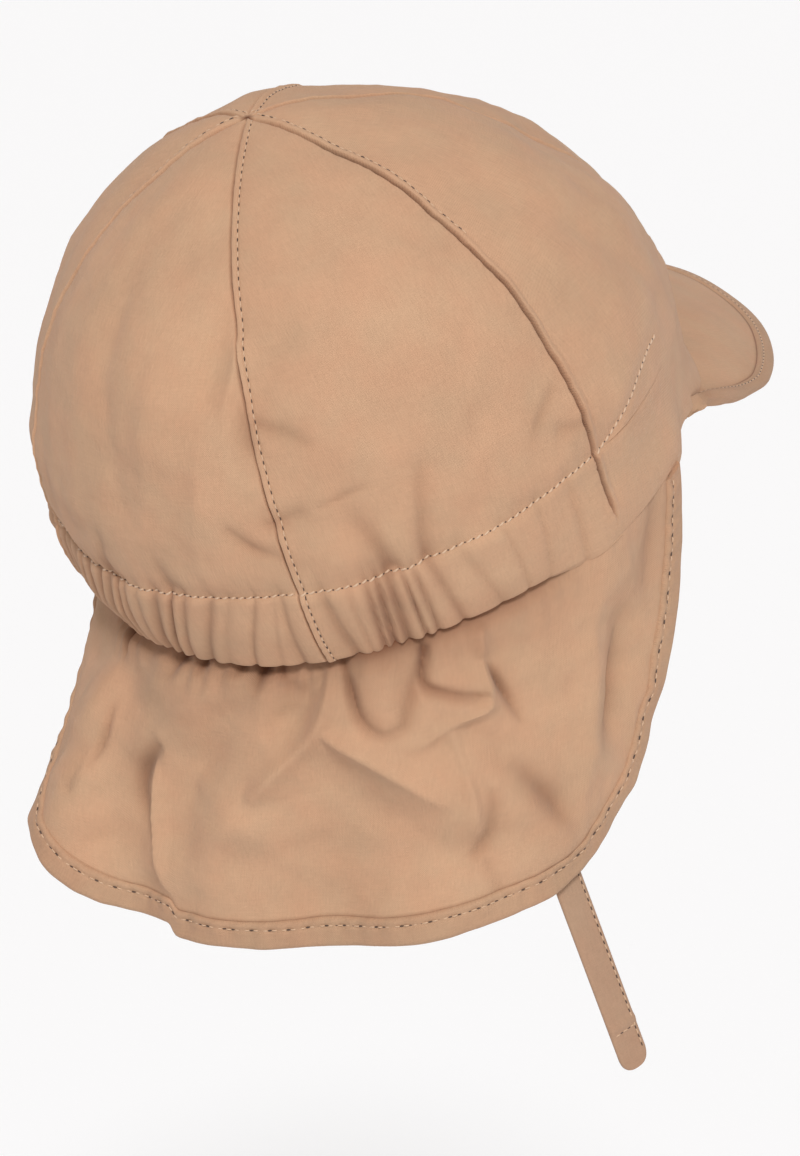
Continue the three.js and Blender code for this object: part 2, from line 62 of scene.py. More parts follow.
# Height over which a gather fades above the stitching
GATHER_FADE = 2.2
# Creases across the channel: angle at the stitching, angle at the lower edge, depth
CHANNEL_CREASES = [
    (-77, -78, 0.9), (-74.5, -75, 1.2), (-71, -72.5, 1), (-67.5, -68, 1.3), (-65, -66.5, 0.8),
    (-60, -61, 1.1), (-57.5, -58, 0.8), (-54, -55.5, 1), (-51, -53, 1), (-48, -50.5, 1.3),
    (-44, -47.8, 1.5), (-41, -45, 1.2), (-38.4, -42, 1.3), (-36.4, -39.5, 0.9), (-32.8, -36.2, 0.6),
    (-28.5, -34, 1.1), (-24.9, -31.4, 1.4), (-22, -28.5, 0.8), (-16.5, -24, 0.8), (-13, -20, 0.3),
    (-8, -14.5, 0.6), (-4.5, -9, 0.25),
    (-3.4, -4.6, 0.6), (4.2, 5.8, 0.8), (8.6, 8.4, 0.4), (11.8, 10.6, 1), (13.6, 12.4, 1.3),
    (15.5, 15, 1.2), (17.8, 18.3, 1), (19.8, 20.6, 0.8), (22.5, 25.5, 0.7), (28, 33, 0.35),
    (36, 38, 0.3), (43, 42, 0.25), (50, 49, 0.3),
]
# Folds of the crown: sharpness, then a line of angle, level and height
CROWN_FOLDS = [
    (1.6, [(0.5, 0.572, 1), (-2, 0.643, 1.1), (-5, 0.714, 0.2)]),
    (2.6, [(-0.2, 0.48, -0.4), (-5, 0.556, -1.2), (-7.8, 0.663, -0.8), (-11.2, 0.77, -0.3)]),
    (2, [(-8.8, 0.699, 0.5), (-11.8, 0.825, 0.6), (-15.5, 0.945, 0.3)]),
    (1.8, [(-1.2, 0.687, -0.6), (-1, 0.746, -0.9), (-1, 0.782, -0.2)]),
    (1.4, [(2, 0.722, -0.7), (7.5, 0.746, -0.7), (10.5, 0.782, -0.2)]),
    (1.6, [(-1, 0.901, -0.7), (5, 0.889, -0.5)]),
    (1.4, [(-8.2, 0.901, -0.5), (-5.8, 0.933, -0.9), (-1, 0.952, -0.4)]),
    (0.7, [(8.2, 0.885, -0.2), (13, 0.873, -0.6), (17, 0.869, -0.2)]),
    (1.8, [(13.5, 0.905, -0.3), (15.8, 0.964, -0.9), (16.6, 0.995, -1.2)]),
    (2, [(23, 0.881, 0.3), (20.8, 0.956, 0.8), (19.2, 0.996, 0.9)]),
    (1.8, [(26.2, 0.877, -0.4), (23, 0.964, -0.9), (22.5, 0.996, -0.9)]),
    (1.3, [(53.5, 0.861, -0.4), (47.8, 0.897, -0.6), (45, 0.921, -0.1)]),
    (1.6, [(57, 0.948, -0.4), (51.8, 0.929, -0.5)]),
    (5, [(16.2, 0.512, 0.6), (16, 0.71, 0.8), (15.2, 0.837, 0.3)]),
    (5, [(38.8, 0.802, -0.7), (40.8, 0.889, -0.9), (46.8, 0.937, -0.3)]),
    (4, [(-31.8, 0.476, -0.5), (-31.2, 0.671, -0.9), (-29.8, 0.853, -0.5)]),
    (4, [(-16.8, 0.528, 0.5), (-20.8, 0.734, 0.7), (-26.2, 0.952, 0.4)]),
    (1.6, [(-38, 0.93, -0.3), (-40, 0.99, -1)]),
    (1.8, [(-25, 0.94, -0.2), (-24, 0.99, -0.8)]),
    (4, [(75, 0.5, -0.4), (82, 0.7, -0.9), (90, 0.9, -0.5)]),
    (4, [(-86, 0.5, 0.5), (-90, 0.8, 0.8), (-93, 1.1, 0.4)]),
    (5, [(140, 0.55, -0.5), (146, 0.8, -0.8), (150, 1.1, -0.4)]),
    (5, [(212, 0.5, 0.5), (208, 0.8, 0.8), (205, 1.1, 0.4)]),
    (6, [(214, 0.1, 0.8), (196, 0.16, 1.4), (184, 0.24, 0.6)]),
]

SEAMS = {"left": -63, "back": 0, "right": 57, "front_right": 119, "front": 176, "front_left": 242}
SEAMS["front_left_behind"] = SEAMS["front_left"] - 360
SEAM_TURN_IN = 0.5
DEEP_SEAM = 1.7
STITCH_OFFSET = 1.7
# Gores: first seam, last seam, puff, sag, stitched at first and last seam, depth of both seams
GORE_TABLE = {
    "back_panel_right": ("back", "right", 2, 0, (True, False), (1, DEEP_SEAM)),
    "back_panel_left": ("left", "back", 2, 0, (False, False), (1, 1)),
    "front_panel_right": ("front_right", "front", 2.6, 2.4, (True, True), (1, 1)),
    "front_panel_left": ("front", "front_left", 1.4, 1.2, (False, True), (1, 1)),
    "side_right": ("right", "front_right", 2.2, 0.6, (True, False), (DEEP_SEAM, 1)),
    "side_left": ("front_left_behind", "left", 0.5, -1.1, (False, True), (1, 1)),
}

FLAP_DROP = 73.8
FLAP_STRAIGHT = 34
FLAP_END = 77
FLAP_TOP_TURN = 1
FLAP_EDGE_LIFT = 2
FLAP_TOP_FADE = 12
FLAP_LEAN_LEFT = 0.265
FLAP_LEAN_BACK = 0.098
FLAP_TUCK = 1.3
FLAP_TUCK_FADE = 4
SIDE_FILL = 3.2
SIDE_FILL_FROM = 38
SIDE_FILL_TO = 54
FLAP_TURN_UP = 3
FLAP_NOTCH_ANGLE = -30
FLAP_NOTCH_STEP = 1.6
FLAP_NOTCH_DROP = 66
# How the flap hangs round the head: its flare outwards and how much of its drop folds take up
FLAP_HANG = {
    "angle": (-81, -66, -52, -38, -26, -14, 0, 20, 40, 60, 81),
    "flare": (-0.12, 0.32, 0.57, 0.18, 0.2, 0.17, 0.14, 0.28, 0.22, 0.15, 0.22),
    "take_up": (0.03, 0.06, 0.06, 0.05, 0.045, 0.035, 0.035, 0.04, 0.01, 0.01, 0.03),
}
# Broad folds of the flap: start angle and drop, end angle and drop, width, height, as shares of drop
FLAP_DRAPE = [
    (-1, 0.13, -16, 0.5, 0.1, 0.02),
    (0, 0.18, 21, 0.58, 0.1, 0.02),
    (24, 0.25, 40, 0.8, 0.11, 0.035),
    (-36, 0.42, -32, 0.82, 0.09, 0.02),
    (-46, 0.2, -43, 0.75, 0.1, -0.035),
    (-29, 0.5, -27, 0.95, 0.08, -0.02),
    (30, 0.1, 35, 0.36, 0.09, -0.02),
    (59, 0.35, 52, 0.65, 0.09, -0.025),
    (-6, 0.1, 2, 0.85, 0.13, -0.02),
]
# How much the folds that the tables list stand out, how much wider the flap's are, and which get painted
# shade
FOLD_DEPTH = 1.5
FLAP_FOLD_SPREAD = 1.3
SHARP_FOLD = 2.5
# Creased folds of the flap: sharpness, then a line of angle, drop and height
FLAP_FOLDS = [
    (1.6, [(0, 2.8, 1.6), (-2.2, 16, 2.6), (-7.5, 23, 2.4), (-12.8, 30, 1.8), (-17.5, 37.5, 0)]),
    (1.6, [(-1.5, 16.5, 1.6), (7, 23.8, 2.2), (15.5, 34.2, 1.8), (21.8, 44, 0)]),
    (3.4, [(8.5, 2, 1.8), (9.5, 8.8, 2.6), (10.5, 16.5, 1.2)]),
    (1, [(27.8, 3, 1.2), (28.2, 15, 2.2), (28.5, 21.2, 1.8), (21, 21.2, 1.4), (15.5, 25, 0.3)]),
    (1.3, [(21, 22.5, 1), (23, 34, 1.6), (24, 44.8, 1.6), (24.2, 51.2, 0.2)]),
    (4, [(24, 32, 1.2), (30.2, 43.5, 1.8), (36, 56.8, 1.2)]),
    (2.6, [(51, 12.5, 0.8), (47.5, 35, 1.4), (43.5, 52, 0.8)]),
    (3.2, [(-1, 3.8, -2), (-5.8, 11.2, -3.2), (-11, 15.2, -1.2)]),
    (1.1, [(2.2, 1.2, -1.6), (4, 8.8, -2.2), (5.8, 15.8, -1.6), (9.8, 19.8, -1), (13.2, 18.5, -1.2)]),
    (1.1, [(13.2, 18.5, -1.2), (14.8, 10.5, -1.2), (16, 4.8, -0.8)]),
    (0.9, [(17.2, 2.5, -1.8), (16, 10.2, -2), (20.5, 14.2, -1.6), (28.5, 19, -1)]),
    (0.8, [(28.2, 10.2, -1.2), (30.5, 17.5, -2.6), (33.8, 27.5, -0.6)]),
    (2, [(57.8, 26.5, -0.8), (53.8, 38.2, -2.2), (50.2, 46, -0.6)]),
    (2.6, [(29.2, 31.5, -1.4), (24.8, 25.5, -1.2)]),
    (2.4, [(31.2, 37.2, -0.8), (36.8, 49, -2.2), (39.5, 58, -0.6)]),
    (1.4, [(26.5, 42, -0.6), (26.5, 51.2, -1.6), (24, 55.5, -1)]),
    (1.2, [(25.2, 57.8, -0.5), (26.8, 65.2, -0.5)]),
    (1, [(-50, 1, -2.4), (-49.8, 9.5, -0.6)]),
    (1.2, [(-33, 0.5, -2), (-34.5, 5.8, -0.3)]),
    (1, [(-27.5, 0.8, -1.6), (-28, 4.5, -0.2)]),
    (1.2, [(-18.5, 0, -1.6), (-19.5, 3.2, -0.2)]),
    (1.5, [(-14.2, 0.2, -2.8), (-15.2, 6.5, -0.8)]),
    (1.3, [(-10.2, 0.8, -1.4), (-7.8, 5.5, -0.6), (-2, 7.8, -0.3)]),
    (0.9, [(-47.8, 19.5, -0.3), (-47.8, 29.8, -1.5), (-48.5, 38, -0.3)]),
    (1.2, [(-50, 35.5, -0.2), (-50.5, 46, -0.7)]),
    (1.6, [(-36.5, 26.5, -1.4), (-39.8, 34.5, -2.4), (-39.5, 42, -1.8), (-37, 49.2, -0.5)]),
    (1.1, [(-36.2, 30.2, 0.8), (-34.5, 42.5, 1.8), (-32.5, 55.2, 1.2), (-31, 62.2, 0.6)]),
    (5, [(-17.8, 8.8, -0.8), (-24.8, 20, -2.4), (-28, 32.8, -1.4)]),
    (3.6, [(-19.8, 4.2, 1), (-29, 12.2, 1.6), (-39, 25, 1.2), (-42.5, 32, 0.4)]),
    (5, [(-19.5, 38.5, 1.2), (-23.2, 54, 0.8)]),
    (4, [(-16.2, 50.5, -0.9), (-5.5, 55.8, -0.6)]),
    (4.5, [(5.2, 35.8, -0.9), (15, 47.8, -0.9), (22.8, 55, -0.4)]),
    (6, [(-74, 8, -1.4), (-76, 24, -2.2), (-72, 44, -0.3)]),
    (7, [(-57, 4, -1.2), (-59, 20, -1.8), (-60, 38, -0.2)]),
    (2.4, [(68, 3, -0.8), (66, 14, -1.2), (64, 24, -0.3)]),
]

VISOR_REACH = 52
VISOR_THICKNESS = 2.4
VISOR_CAMBER = 3
VISOR_LEAST_SHARE = 0.15
VISOR_SEAM_GAP = 0.3
# The visor's edge from its middle to its end, in shares of VISOR_REACH from the rim
VISOR_EDGE = {
    "angle": (0, 15, 30, 45, 60, 75, 80, 84, 86, 88),
    "side": (0, 0.16, 0.3, 0.33, 0.32, 0.27, 0.21, 0.16, 0.12, 0.07),
    "ahead": (1, 1.02, 0.98, 0.9, 0.77, 0.57, 0.43, 0.31, 0.24, 0.16),
    "drop": (0.5, 0.54, 0.6, 0.64, 0.6, 0.48, 0.36, 0.21, 0.12, 0.04),
}

BINDING_WIDTH = 7.5
BINDING_CLOTH = 0.9
BINDING_STITCH = 2
# How deep the stitching sinks into the binding
STITCH_SINK = 0.28
# Painted shade on the cloth just inside a binding, where the binding's raised edge shades it
BINDING_SHADE = 0.9

STRAP_WIDTH = 8
STRAP_THICKNESS = 1.6
STRAP_CLEARANCE = 1.6
STRAP_INSET = CLOTH + STRAP_CLEARANCE + STRAP_THICKNESS / 2
STRAP_ANGLE = 41.5
STRAP_DRIFT = 1
STRAP_SWING = 0.095
STRAP_SEWN = 7
STRAP_SHOWN = 51
STRAP_LENGTH = FLAP_DROP + STRAP_SHOWN
STRAP_RIDGE = 11.5
TAB_LENGTH = 42

# The photograph's camera, fitted in the cap's own frame
PHOTO_WIDTH = 800
PHOTO_HEIGHT = 1156
CAMERA_AZIMUTH = 19.6
CAMERA_HEIGHT = 29.6
CAMERA_ROLL = 19.4
CAMERA_DISTANCE = 1000
PIXELS_PER_MM = 4.26
ORIGIN_PIXEL = (359.67, 387.07)
SENSOR = 36

# Floor in metres, and lights: name, azimuth, height, spread, strength
FLOOR_LEVEL = -0.8
FLOOR_REACH = 12
LIGHT_COLOUR = (0.97, 0.985, 1)
WORLD_COLOUR = (1, 0.94, 0.88, 1)
WORLD_STRENGTH = 0.38
LIGHTS = [("key", 208, 40, 12, 2.28), ("fill", 150, 60, 60, 0.3), ("front", 20, 50, 60, 0.3)]

TO_ROW = Matrix.Rotation(-math.radians(PITCH), 3, "X")
MM_PER_DEGREE = math.radians((HALF_WIDTH + HALF_LENGTH) / 2)

GORES = {
    name: {"from": SEAMS[first], "to": SEAMS[last], **dict(zip(("puff", "sag", "stitched", "dive"), rest))}
    for name, (first, last, *rest) in GORE_TABLE.items()
}


def to_row(points):
    """Millimetres in the cap's frame as metres in the row's frame."""
    return np.asarray(points) @ np.array(TO_ROW).T / 1000


def smoothstep(x, low, high):
    t = np.clip((x - low) / (high - low), 0, 1)
    return t * t * (3 - 2 * t)


def lerp(a, b, t):
    return a + (b - a) * t


def unit(v):
    return v / np.linalg.norm(v, axis=-1, keepdims=True)


def run_along(path):
    """The length of a path up to each of its points."""
    return np.concatenate([[0], np.cumsum(np.linalg.norm(np.diff(path, axis=0), axis=-1))])


def hollow(away, width, power=2):
    """A bell of height 1 and the given half width."""
    return np.exp(-(np.abs(away / width) ** power))


def outward(angle):
    a = np.radians(angle)
    return np.stack([-np.sin(a), np.cos(a), np.zeros_like(a)], -1)


def table_curve(table, column):
    """A smooth curve through one column of a table over its angles."""
    x = np.array(table["angle"], float)
    y = np.array(table[column], float)
    before = np.maximum(np.arange(len(x)) - 1, 0)
    after = np.minimum(np.arange(len(x)) + 1, len(x) - 1)
    slopes = (y[after] - y[before]) / (x[after] - x[before])

    def value(angle):
        high = np.clip(np.searchsorted(x, angle, side="right"), 1, len(x) - 1)
        span = x[high] - x[high - 1]
        share = np.clip((angle - x[high - 1]) / span, 0, 1)
        rest = 1 - share
        bend = span * share * rest * (slopes[high - 1] * rest - slopes[high] * share)
        return lerp(y[high - 1], y[high], share * share * (3 - 2 * share)) + bend

    return value


def undulation(points, wavelength, seed, waves=12):
    """Smooth noise of about unit size through space: a sum of plane waves."""
    draw = np.random.default_rng(seed)
    ways = unit(draw.normal(size=(waves, 3)))
    ways *= 2 * math.pi / wavelength * draw.uniform(0.7, 1.4, (waves, 1))
    phases = draw.uniform(0, 2 * math.pi, waves)
    return np.sin(points @ ways.T + phases).sum(-1) / math.sqrt(waves / 2)


# Smooth surfaces


def plan_power(angle):
    back = (1 + np.cos(np.radians(angle))) / 2
    return lerp(FRONT_PROFILE["plan"], BACK_PROFILE["plan"], back)


def crown_reach(angle, level):
    level = np.maximum(level, 1e-4)
    return np.sin(np.minimum(level, 1) * math.pi / 2) ** (2 / plan_power(angle))


def smooth_wall(angle, level):
    """Level 0 at the apex, 1 at the stitching, 2 at the channel's lower edge."""
    angle, level = np.broadcast_arrays(np.asarray(angle, float), np.asarray(level, float))
    level = np.maximum(level, 1e-4)
    back = (1 + np.cos(np.radians(angle))) / 2
    rise = lerp(FRONT_PROFILE["rise"], BACK_PROFILE["rise"], back)
    down = np.maximum(level - 1, 0)
    reach = crown_reach(angle, level)
    height = np.maximum(np.cos(np.minimum(level, 1) * math.pi / 2), 0) ** (2 / rise)
    out = outward(angle)
    point = np.stack(
        [
            HALF_WIDTH * reach * out[..., 0],
            HALF_LENGTH * reach * out[..., 1] + APEX_SET_BACK * (1 - reach),
            CROWN_HEIGHT * height - CHANNEL_HEIGHT * down,
        ],
        -1,
    )
    return point - out * (CHANNEL_DRAW_IN * down)[..., None]


flare_at = table_curve(FLAP_HANG, "flare")
take_up_at = table_curve(FLAP_HANG, "take_up")


def smooth_flap(angle, drop):
    """The flap's hang without its folds, drop millimetres below the channel."""
    angle, drop = np.broadcast_arrays(np.asarray(angle, float), np.asarray(drop, float))
    lean = np.array([FLAP_LEAN_LEFT, FLAP_LEAN_BACK, -1])
    hang = unit(lean + outward(angle) * flare_at(angle)[..., None])
    return smooth_wall(angle, 2) + hang * (drop * (1 - take_up_at(angle)))[..., None]


def normal_of(surface, across, down):
    small = 0.01
    around = surface(across + small, down) - surface(across - small, down)
    fall = surface(across, down + small) - surface(across, down - small)
    return unit(np.cross(fall, around))


def raised(surface, across, down, height):
    """Points at a height over a smooth surface."""
    across, down = np.broadcast_arrays(np.asarray(across, float), np.asarray(down, float))
    normal = normal_of(surface, across, down)
    return surface(across, down) + normal * np.asarray(height)[..., None]


def fold_set(folds, surface, length):
    """Soft ridges and valleys along straight lines between two points of a smooth surface."""
    lines = []
    for angle, level, to_angle, to_level, width, height in folds:
        start = surface(angle, level * length)
        end = surface(to_angle, to_level * length)
        lines.append((start, end, width * length, height * length))

    def relief(points):
        total = np.zeros(points.shape[:-1])
        for start, end, width, height in lines:
            way = end - start
            share = np.clip((points - start) @ way / (way @ way), 0, 1)
            away = np.linalg.norm(points - start - share[..., None] * way, axis=-1)
            total = total + height * np.exp(-((away / width) ** 2))
        return total

    return relief


def rounded_line(rows, passes=3):
    """The rows with their corners cut, so that a fold bends instead of breaking."""
    for _ in range(passes if len(rows) > 2 else 0):
        before, after = rows[:-1], rows[1:]
        cut = np.stack([lerp(before, after, 0.25), lerp(before, after, 0.75)], 1)
        cut = cut.reshape(-1, rows.shape[1])
        rows = np.concatenate([rows[:1], cut[1:-1], rows[-1:]])
    return rows


def crease_set(folds, surface):
    """Ridges and valleys with a sharp middle, each along a line of points with its own heights."""
    lines = []
    for width, spots in folds:
        table = rounded_line(np.array(spots, float))
        places = surface(table[:, 0], table[:, 1])
        for start, end, low, high in zip(places[:-1], places[1:], table[:-1, 2], table[1:, 2]):
            lines.append((start, end, width, low, high))
    bounds = [width * 6 for _, _, width, _, _ in lines]

    def relief(points):
        flat = points.reshape(-1, 3)
        ridges = np.zeros(len(flat))
        valleys = np.zeros(len(flat))
        for (start, end, width, low, high), reach in zip(lines, bounds):
            way = end - start
            middle = (start + end) / 2
            near = np.linalg.norm(flat - middle, axis=1) < np.linalg.norm(way) / 2 + reach
            spots = flat[near]
            share = np.clip((spots - start) @ way / (way @ way), 0, 1)
            away = np.linalg.norm(spots - start - share[:, None] * way, axis=1)
            shape = np.exp(-(np.sqrt(away**2 + (width / 2) ** 2) - width / 2) / width)
            height = lerp(low, high, share) * shape
            ridges[near] = np.maximum(ridges[near], height)
            valleys[near] = np.minimum(valleys[near], height)
        return (ridges + valleys).reshape(points.shape[:-1])

    return relief


def channel_fold(number, top, foot, depth):
    """One row of CHANNEL_CREASES as a fold that starts just above the stitching."""
    middle = 0.5 * (top + foot)
    spots = [(top, 0.965, 0), (top, 1, -depth), (middle, 1.5, -1.4 * depth), (foot, 2, -1.5 * depth)]
    return 0.5 + 0.16 * (number % 4), spots


def sharp(folds):
    return [fold for fold in folds if fold[0] < SHARP_FOLD]


flap_drape = fold_set(FLAP_DRAPE, smooth_flap, FLAP_DROP)
flap_creases = crease_set([(FLAP_FOLD_SPREAD * width, spots) for width, spots in FLAP_FOLDS], smooth_flap)
crown_creases = crease_set(CROWN_FOLDS, smooth_wall)
sharp_flap_creases = crease_set(sharp(FLAP_FOLDS), smooth_flap)
sharp_crown_creases = crease_set(sharp(CROWN_FOLDS), smooth_wall)
channel_creases = crease_set(
    [channel_fold(number, *row) for number, row in enumerate(CHANNEL_CREASES)], smooth_wall
)


# Detailed surfaces


def elastic_share(angle):
    """How much the elastic draws the cloth in: 1 at the back, 0 past the channel's ends."""
    return 1 - smoothstep(np.abs(angle), SEAMS["right"], CHANNEL_END)


def stitch_level(angle):
    """The stitching above the channel rises a little to its two ends."""
    return 1 - 0.065 * smoothstep(np.abs(angle), SEAMS["right"], CHANNEL_END)


def side_share(angle):
    """How far the cloth at the wearer's right runs from the crown into the flap without an edge."""
    return smoothstep(angle, SIDE_FILL_FROM, SIDE_FILL_TO)


def edge_lift(angle):
    """The flap's front edges stand off a little from the head."""
    away = from_back(angle)
    return FLAP_EDGE_LIFT * smoothstep(away, 60, FLAP_END) * (1 - smoothstep(away, FLAP_END + 1, 92))


def side_fill(angle):
    """How far out the cloth at the wearer's right lies where crown and flap meet."""
    fading = (1 - 0.6 * smoothstep(angle, 58, 78)) * (1 - smoothstep(angle, 78, 92))
    return SIDE_FILL * side_share(angle) * fading


def from_back(angle):
    """The angle away from the back, up to 180 at the front."""
    return 180 - np.abs((np.asarray(angle) % 360) - 180)


def seam_relief(away, stitched, depth, dive):
    """A seam: one gore dives under the other, whose folded allowance is stitched down beside it."""
    if not stitched:
        return -1.7 * dive * depth * hollow(away, 0.33, 1.4)
    roll = -2.3 * (1 - smoothstep(away, -0.35, 0.2))
    allowance_end = 1 - smoothstep(away, STITCH_OFFSET - 0.5, STITCH_OFFSET + 0.8)
    allowance = 0.45 * smoothstep(away, -0.1, 0.4) * allowance_end
    row = -0.4 * hollow(away - STITCH_OFFSET, 0.4)
    return depth * (roll + allowance + row)


def gore_share(gore, angle):
    return (angle - gore["from"]) / (gore["to"] - gore["from"])


def gore_width(gore, angle, level):
    return np.radians(gore["to"] - gore["from"]) * local_radius(angle, level)


def gather_fade(level):
    """The gathers of the channel fade out quickly above the stitching."""
    return np.where(level < 1, np.exp(-((1 - level) * CROWN_ARC / GATHER_FADE)), 1)


def seam_fade(gore, side, down, first, last):
    """Every seam but the back one ends as a dart in the channel, between two shares of its height."""
    return 1 - smoothstep(down, first, last) * (np.abs(gore[side]) > 1)


def channel_relief(angle, level, down):
    """The puffed channel, the cloth that runs on into the flap, and the rim's flare over the visor."""
    left_end = LEFT_END_FILL * hollow(angle - LEFT_END_ANGLE, 10) * smoothstep(level, 0.92, 1.2)
    puff = CHANNEL_PUFF * elastic_share(angle) * np.sin(math.pi * np.minimum(down, 1)) ** 0.7
    roll = -1.3 * smoothstep(down, 0.92, 1) * elastic_share(angle)
    flare = FRONT_FLARE * smoothstep(from_back(angle), 86, 105) * down**2
    flare = flare + side_fill(angle) * smoothstep(down, 0, 1) + edge_lift(angle) * smoothstep(down, 0.2, 1)
    return (puff + roll) * (1 - side_share(angle)) + left_end + flare


def stitched_pinch(angle, level, down):
    """The groove that the row of stitching above the channel pulls into the cloth."""
    away = (level - stitch_level(angle)) * CROWN_ARC
    away = np.where(level > 1, down * CHANNEL_HEIGHT, away)
    pinch = -0.9 * hollow(away, np.where(away > 0, 0.8, 1.8), 1.4)
    return pinch * (1 - smoothstep(np.abs(angle), 79, 83)) * (0.25 + 0.75 * elastic_share(angle))


def seams_relief(gore, share, width, level, down):
    along = level * CROWN_ARC
    wavy = 1 + 0.25 * np.sin(along * 0.5) + 0.2 * np.sin(along * 0.23 + 1)
    first_fade = seam_fade(gore, "from", down, 0.55, 0.8)
    last_fade = seam_fade(gore, "to", down, 0.55, 0.8)
    stitched, dive = gore["stitched"], gore["dive"]
    seams = seam_relief(share * width, stitched[0], first_fade, dive[0] * wavy)
    seams = seams + seam_relief((1 - share) * width, stitched[1], last_fade, dive[1] * wavy)
    near = np.minimum(share, 1 - share) * width
    return seams + 0.1 * np.sin(along * 1.4 + 2 * np.sin(along * 0.17)) * hollow(near, 3)


def gore_relief(angle, level, gore):
    """How far a point of a gore stands out from the smooth wall."""
    width = gore_width(gore, angle, level)
    share = gore_share(gore, angle)
    down = np.maximum(level - 1, 0)
    base = smooth_wall(angle, level)
    turn = math.pi * np.minimum(level, 1)
    swell = np.sin(math.pi * share) * (gore["puff"] * np.sin(turn) - gore["sag"] * np.sin(2 * turn))
    fine = np.clip(width / 6, 0, 1)
    slack = 0.4 * undulation(base, 40, 3) + 0.16 * undulation(base, 13, 4) + 0.045 * undulation(base, 6, 5)
    wrinkles = FOLD_DEPTH * crown_creases(base) + slack * smoothstep(level, 0.05, 0.3)
    gathered = channel_creases(base) * gather_fade(level)
    cloth = wrinkles * (1 - 0.5 * down) + gathered * (1 - smoothstep(np.abs(angle), 72, CHANNEL_END))
    broad = swell + channel_relief(angle, level, down) + stitched_pinch(angle, level, down)
    return broad + fine * seams_relief(gore, share, width, level, down) + cloth


def local_radius(angle, level):
    base = smooth_wall(angle, level)
    middle = APEX_SET_BACK * (1 - crown_reach(angle, level))
    return np.hypot(base[..., 0], base[..., 1] - middle)


def gore_point(gore, angle, level):
    """A point of a gore, whose edges turn in a little past their seams."""
    radius = local_radius(angle, level)
    beyond = np.degrees(SEAM_TURN_IN / np.maximum(radius, 4 * SEAM_TURN_IN))
    angle = lerp(gore["from"] - beyond, gore["to"] + beyond, gore_share(gore, angle))
    return raised(smooth_wall, angle, level, gore_relief(angle, level, gore))


def gore_shade(gore, angle, level):
    """Painted shade in the gore's seams, gathers and folds, from 0 to 1."""
    width = gore_width(gore, angle, level)
    share = gore_share(gore, angle)
    base = smooth_wall(angle, level)
    down = np.maximum(level - 1, 0)
    total = np.zeros(angle.shape)
    # Painted shade along each seam's groove, then in the sharp crown folds and the gathers
    for away, side, dive in ((share, "from", gore["dive"][0]), (1 - share, "to", gore["dive"][1])):
        reach = 0.28 * dive * smoothstep(level, 0.02, 0.3) + 0.05
        dark = (0.35 + 0.4 * dive) * seam_fade(gore, side, down, 0.6, 0.85)
        total = total + dark * hollow(away * width, reach)
    total = total + np.clip(-FOLD_DEPTH * sharp_crown_creases(base) / 4, 0, 0.35)
    return total + np.clip(-channel_creases(base) / 3, 0, 0.5) * gather_fade(level)


# Painted shade on the flap: in its sharp folds, and just below the channel where the band shades it
def flap_shade(angle, drop):
    base = smooth_flap(angle, np.maximum(drop, 0))
    back = (1 - side_share(angle)) * elastic_share(np.minimum(angle, 0))
    folds = np.clip(-FOLD_DEPTH * sharp_flap_creases(base) / 6, 0, 0.5)
    return folds + (0.3 * np.exp(-drop / 9) + 0.3 * np.exp(-drop / 2)) * back


def flap_relief(angle, drop):
    """How far a point of the flap stands out from its smooth hang."""
    base = smooth_flap(angle, np.maximum(drop, 0))
    back = (1 - side_share(angle)) * (1 - smoothstep(-angle, SEAMS["right"] - 2.5, SEAMS["right"]))
    near_top = 1 - smoothstep(drop, 0, FLAP_TUCK_FADE)
    fill = side_fill(angle) * (1 - smoothstep(drop, 0, 26))
    fill = fill + edge_lift(angle) * (1 - 0.6 * smoothstep(drop, 12, 48))
    a = np.radians(angle)
    turns = angle / 4.1 + 0.5 * np.sin(6 * a) + 0.3 * np.sin(15 * a + 1)
    puckers = 0.45 * np.cos(2 * math.pi * turns) * hollow(drop, 7) * elastic_share(angle)
    slack = 0.6 * undulation(base, 42, 8) + 0.28 * undulation(base, 15, 9) + 0.07 * undulation(base, 6, 10)
    slack = slack * (1 - 0.75 * smoothstep(np.abs(angle), 60, 72))
    folds = (flap_drape(base) + slack) * smoothstep(drop, 0, 12)
    flat_hem = 1 - 0.75 * smoothstep(drop, FLAP_DROP - 9, FLAP_DROP - 4)
    creases = FOLD_DEPTH * flap_creases(base) * flat_hem
    tuck = puckers * (0.25 + 0.75 * back) * smoothstep(drop, -1, 3) - FLAP_TUCK * back * near_top
    return folds + creases + tuck + fill


def flap_point(angle, drop, lift=0):
    """A point of the flap, whose hem has a small step where the cloth is pleated."""
    away = angle - FLAP_NOTCH_ANGLE
    softness = 0.7 + 0.12 * np.maximum(FLAP_NOTCH_DROP - drop, 0)
    step = FLAP_NOTCH_STEP * np.tanh(away / softness) * np.exp(-np.abs(away) / 8)
    low = drop + step * smoothstep(drop, 48, FLAP_NOTCH_DROP)
    return raised(smooth_flap, angle, low, flap_relief(angle, drop) + lift)


# Meshes


def make_mesh(name, points, faces, uvs=None, smooth_angle=50, shade=None):
    """A mesh object in metres from points in millimetres, with the cloth's grain as its UV map."""
    mesh = bpy.data.meshes.new(name)
    mesh.from_pydata(to_row(points).tolist(), [], [list(map(int, face)) for face in faces])
    mesh.polygons.foreach_set("use_smooth", np.ones(len(mesh.polygons), bool))
    if uvs is not None:
        layer = mesh.uv_layers.new(name="Weave")
        corners = np.empty(len(mesh.loops), np.int32)
        mesh.loops.foreach_get("vertex_index", corners)
        layer.data.foreach_set("uv", np.asarray(uvs, np.float32)[corners].ravel())
    # The Shade attribute holds painted shade, by which the cotton darkens its colour
    if shade is not None:
        depth = mesh.attributes.new("Shade", "FLOAT", "POINT")
        depth.data.foreach_set("value", np.asarray(shade, np.float32))
    mesh.set_sharp_from_angle(angle=math.radians(smooth_angle))
    mesh.update()
    piece = bpy.data.objects.new(name, mesh)
    bpy.context.collection.objects.link(piece)
    return piece


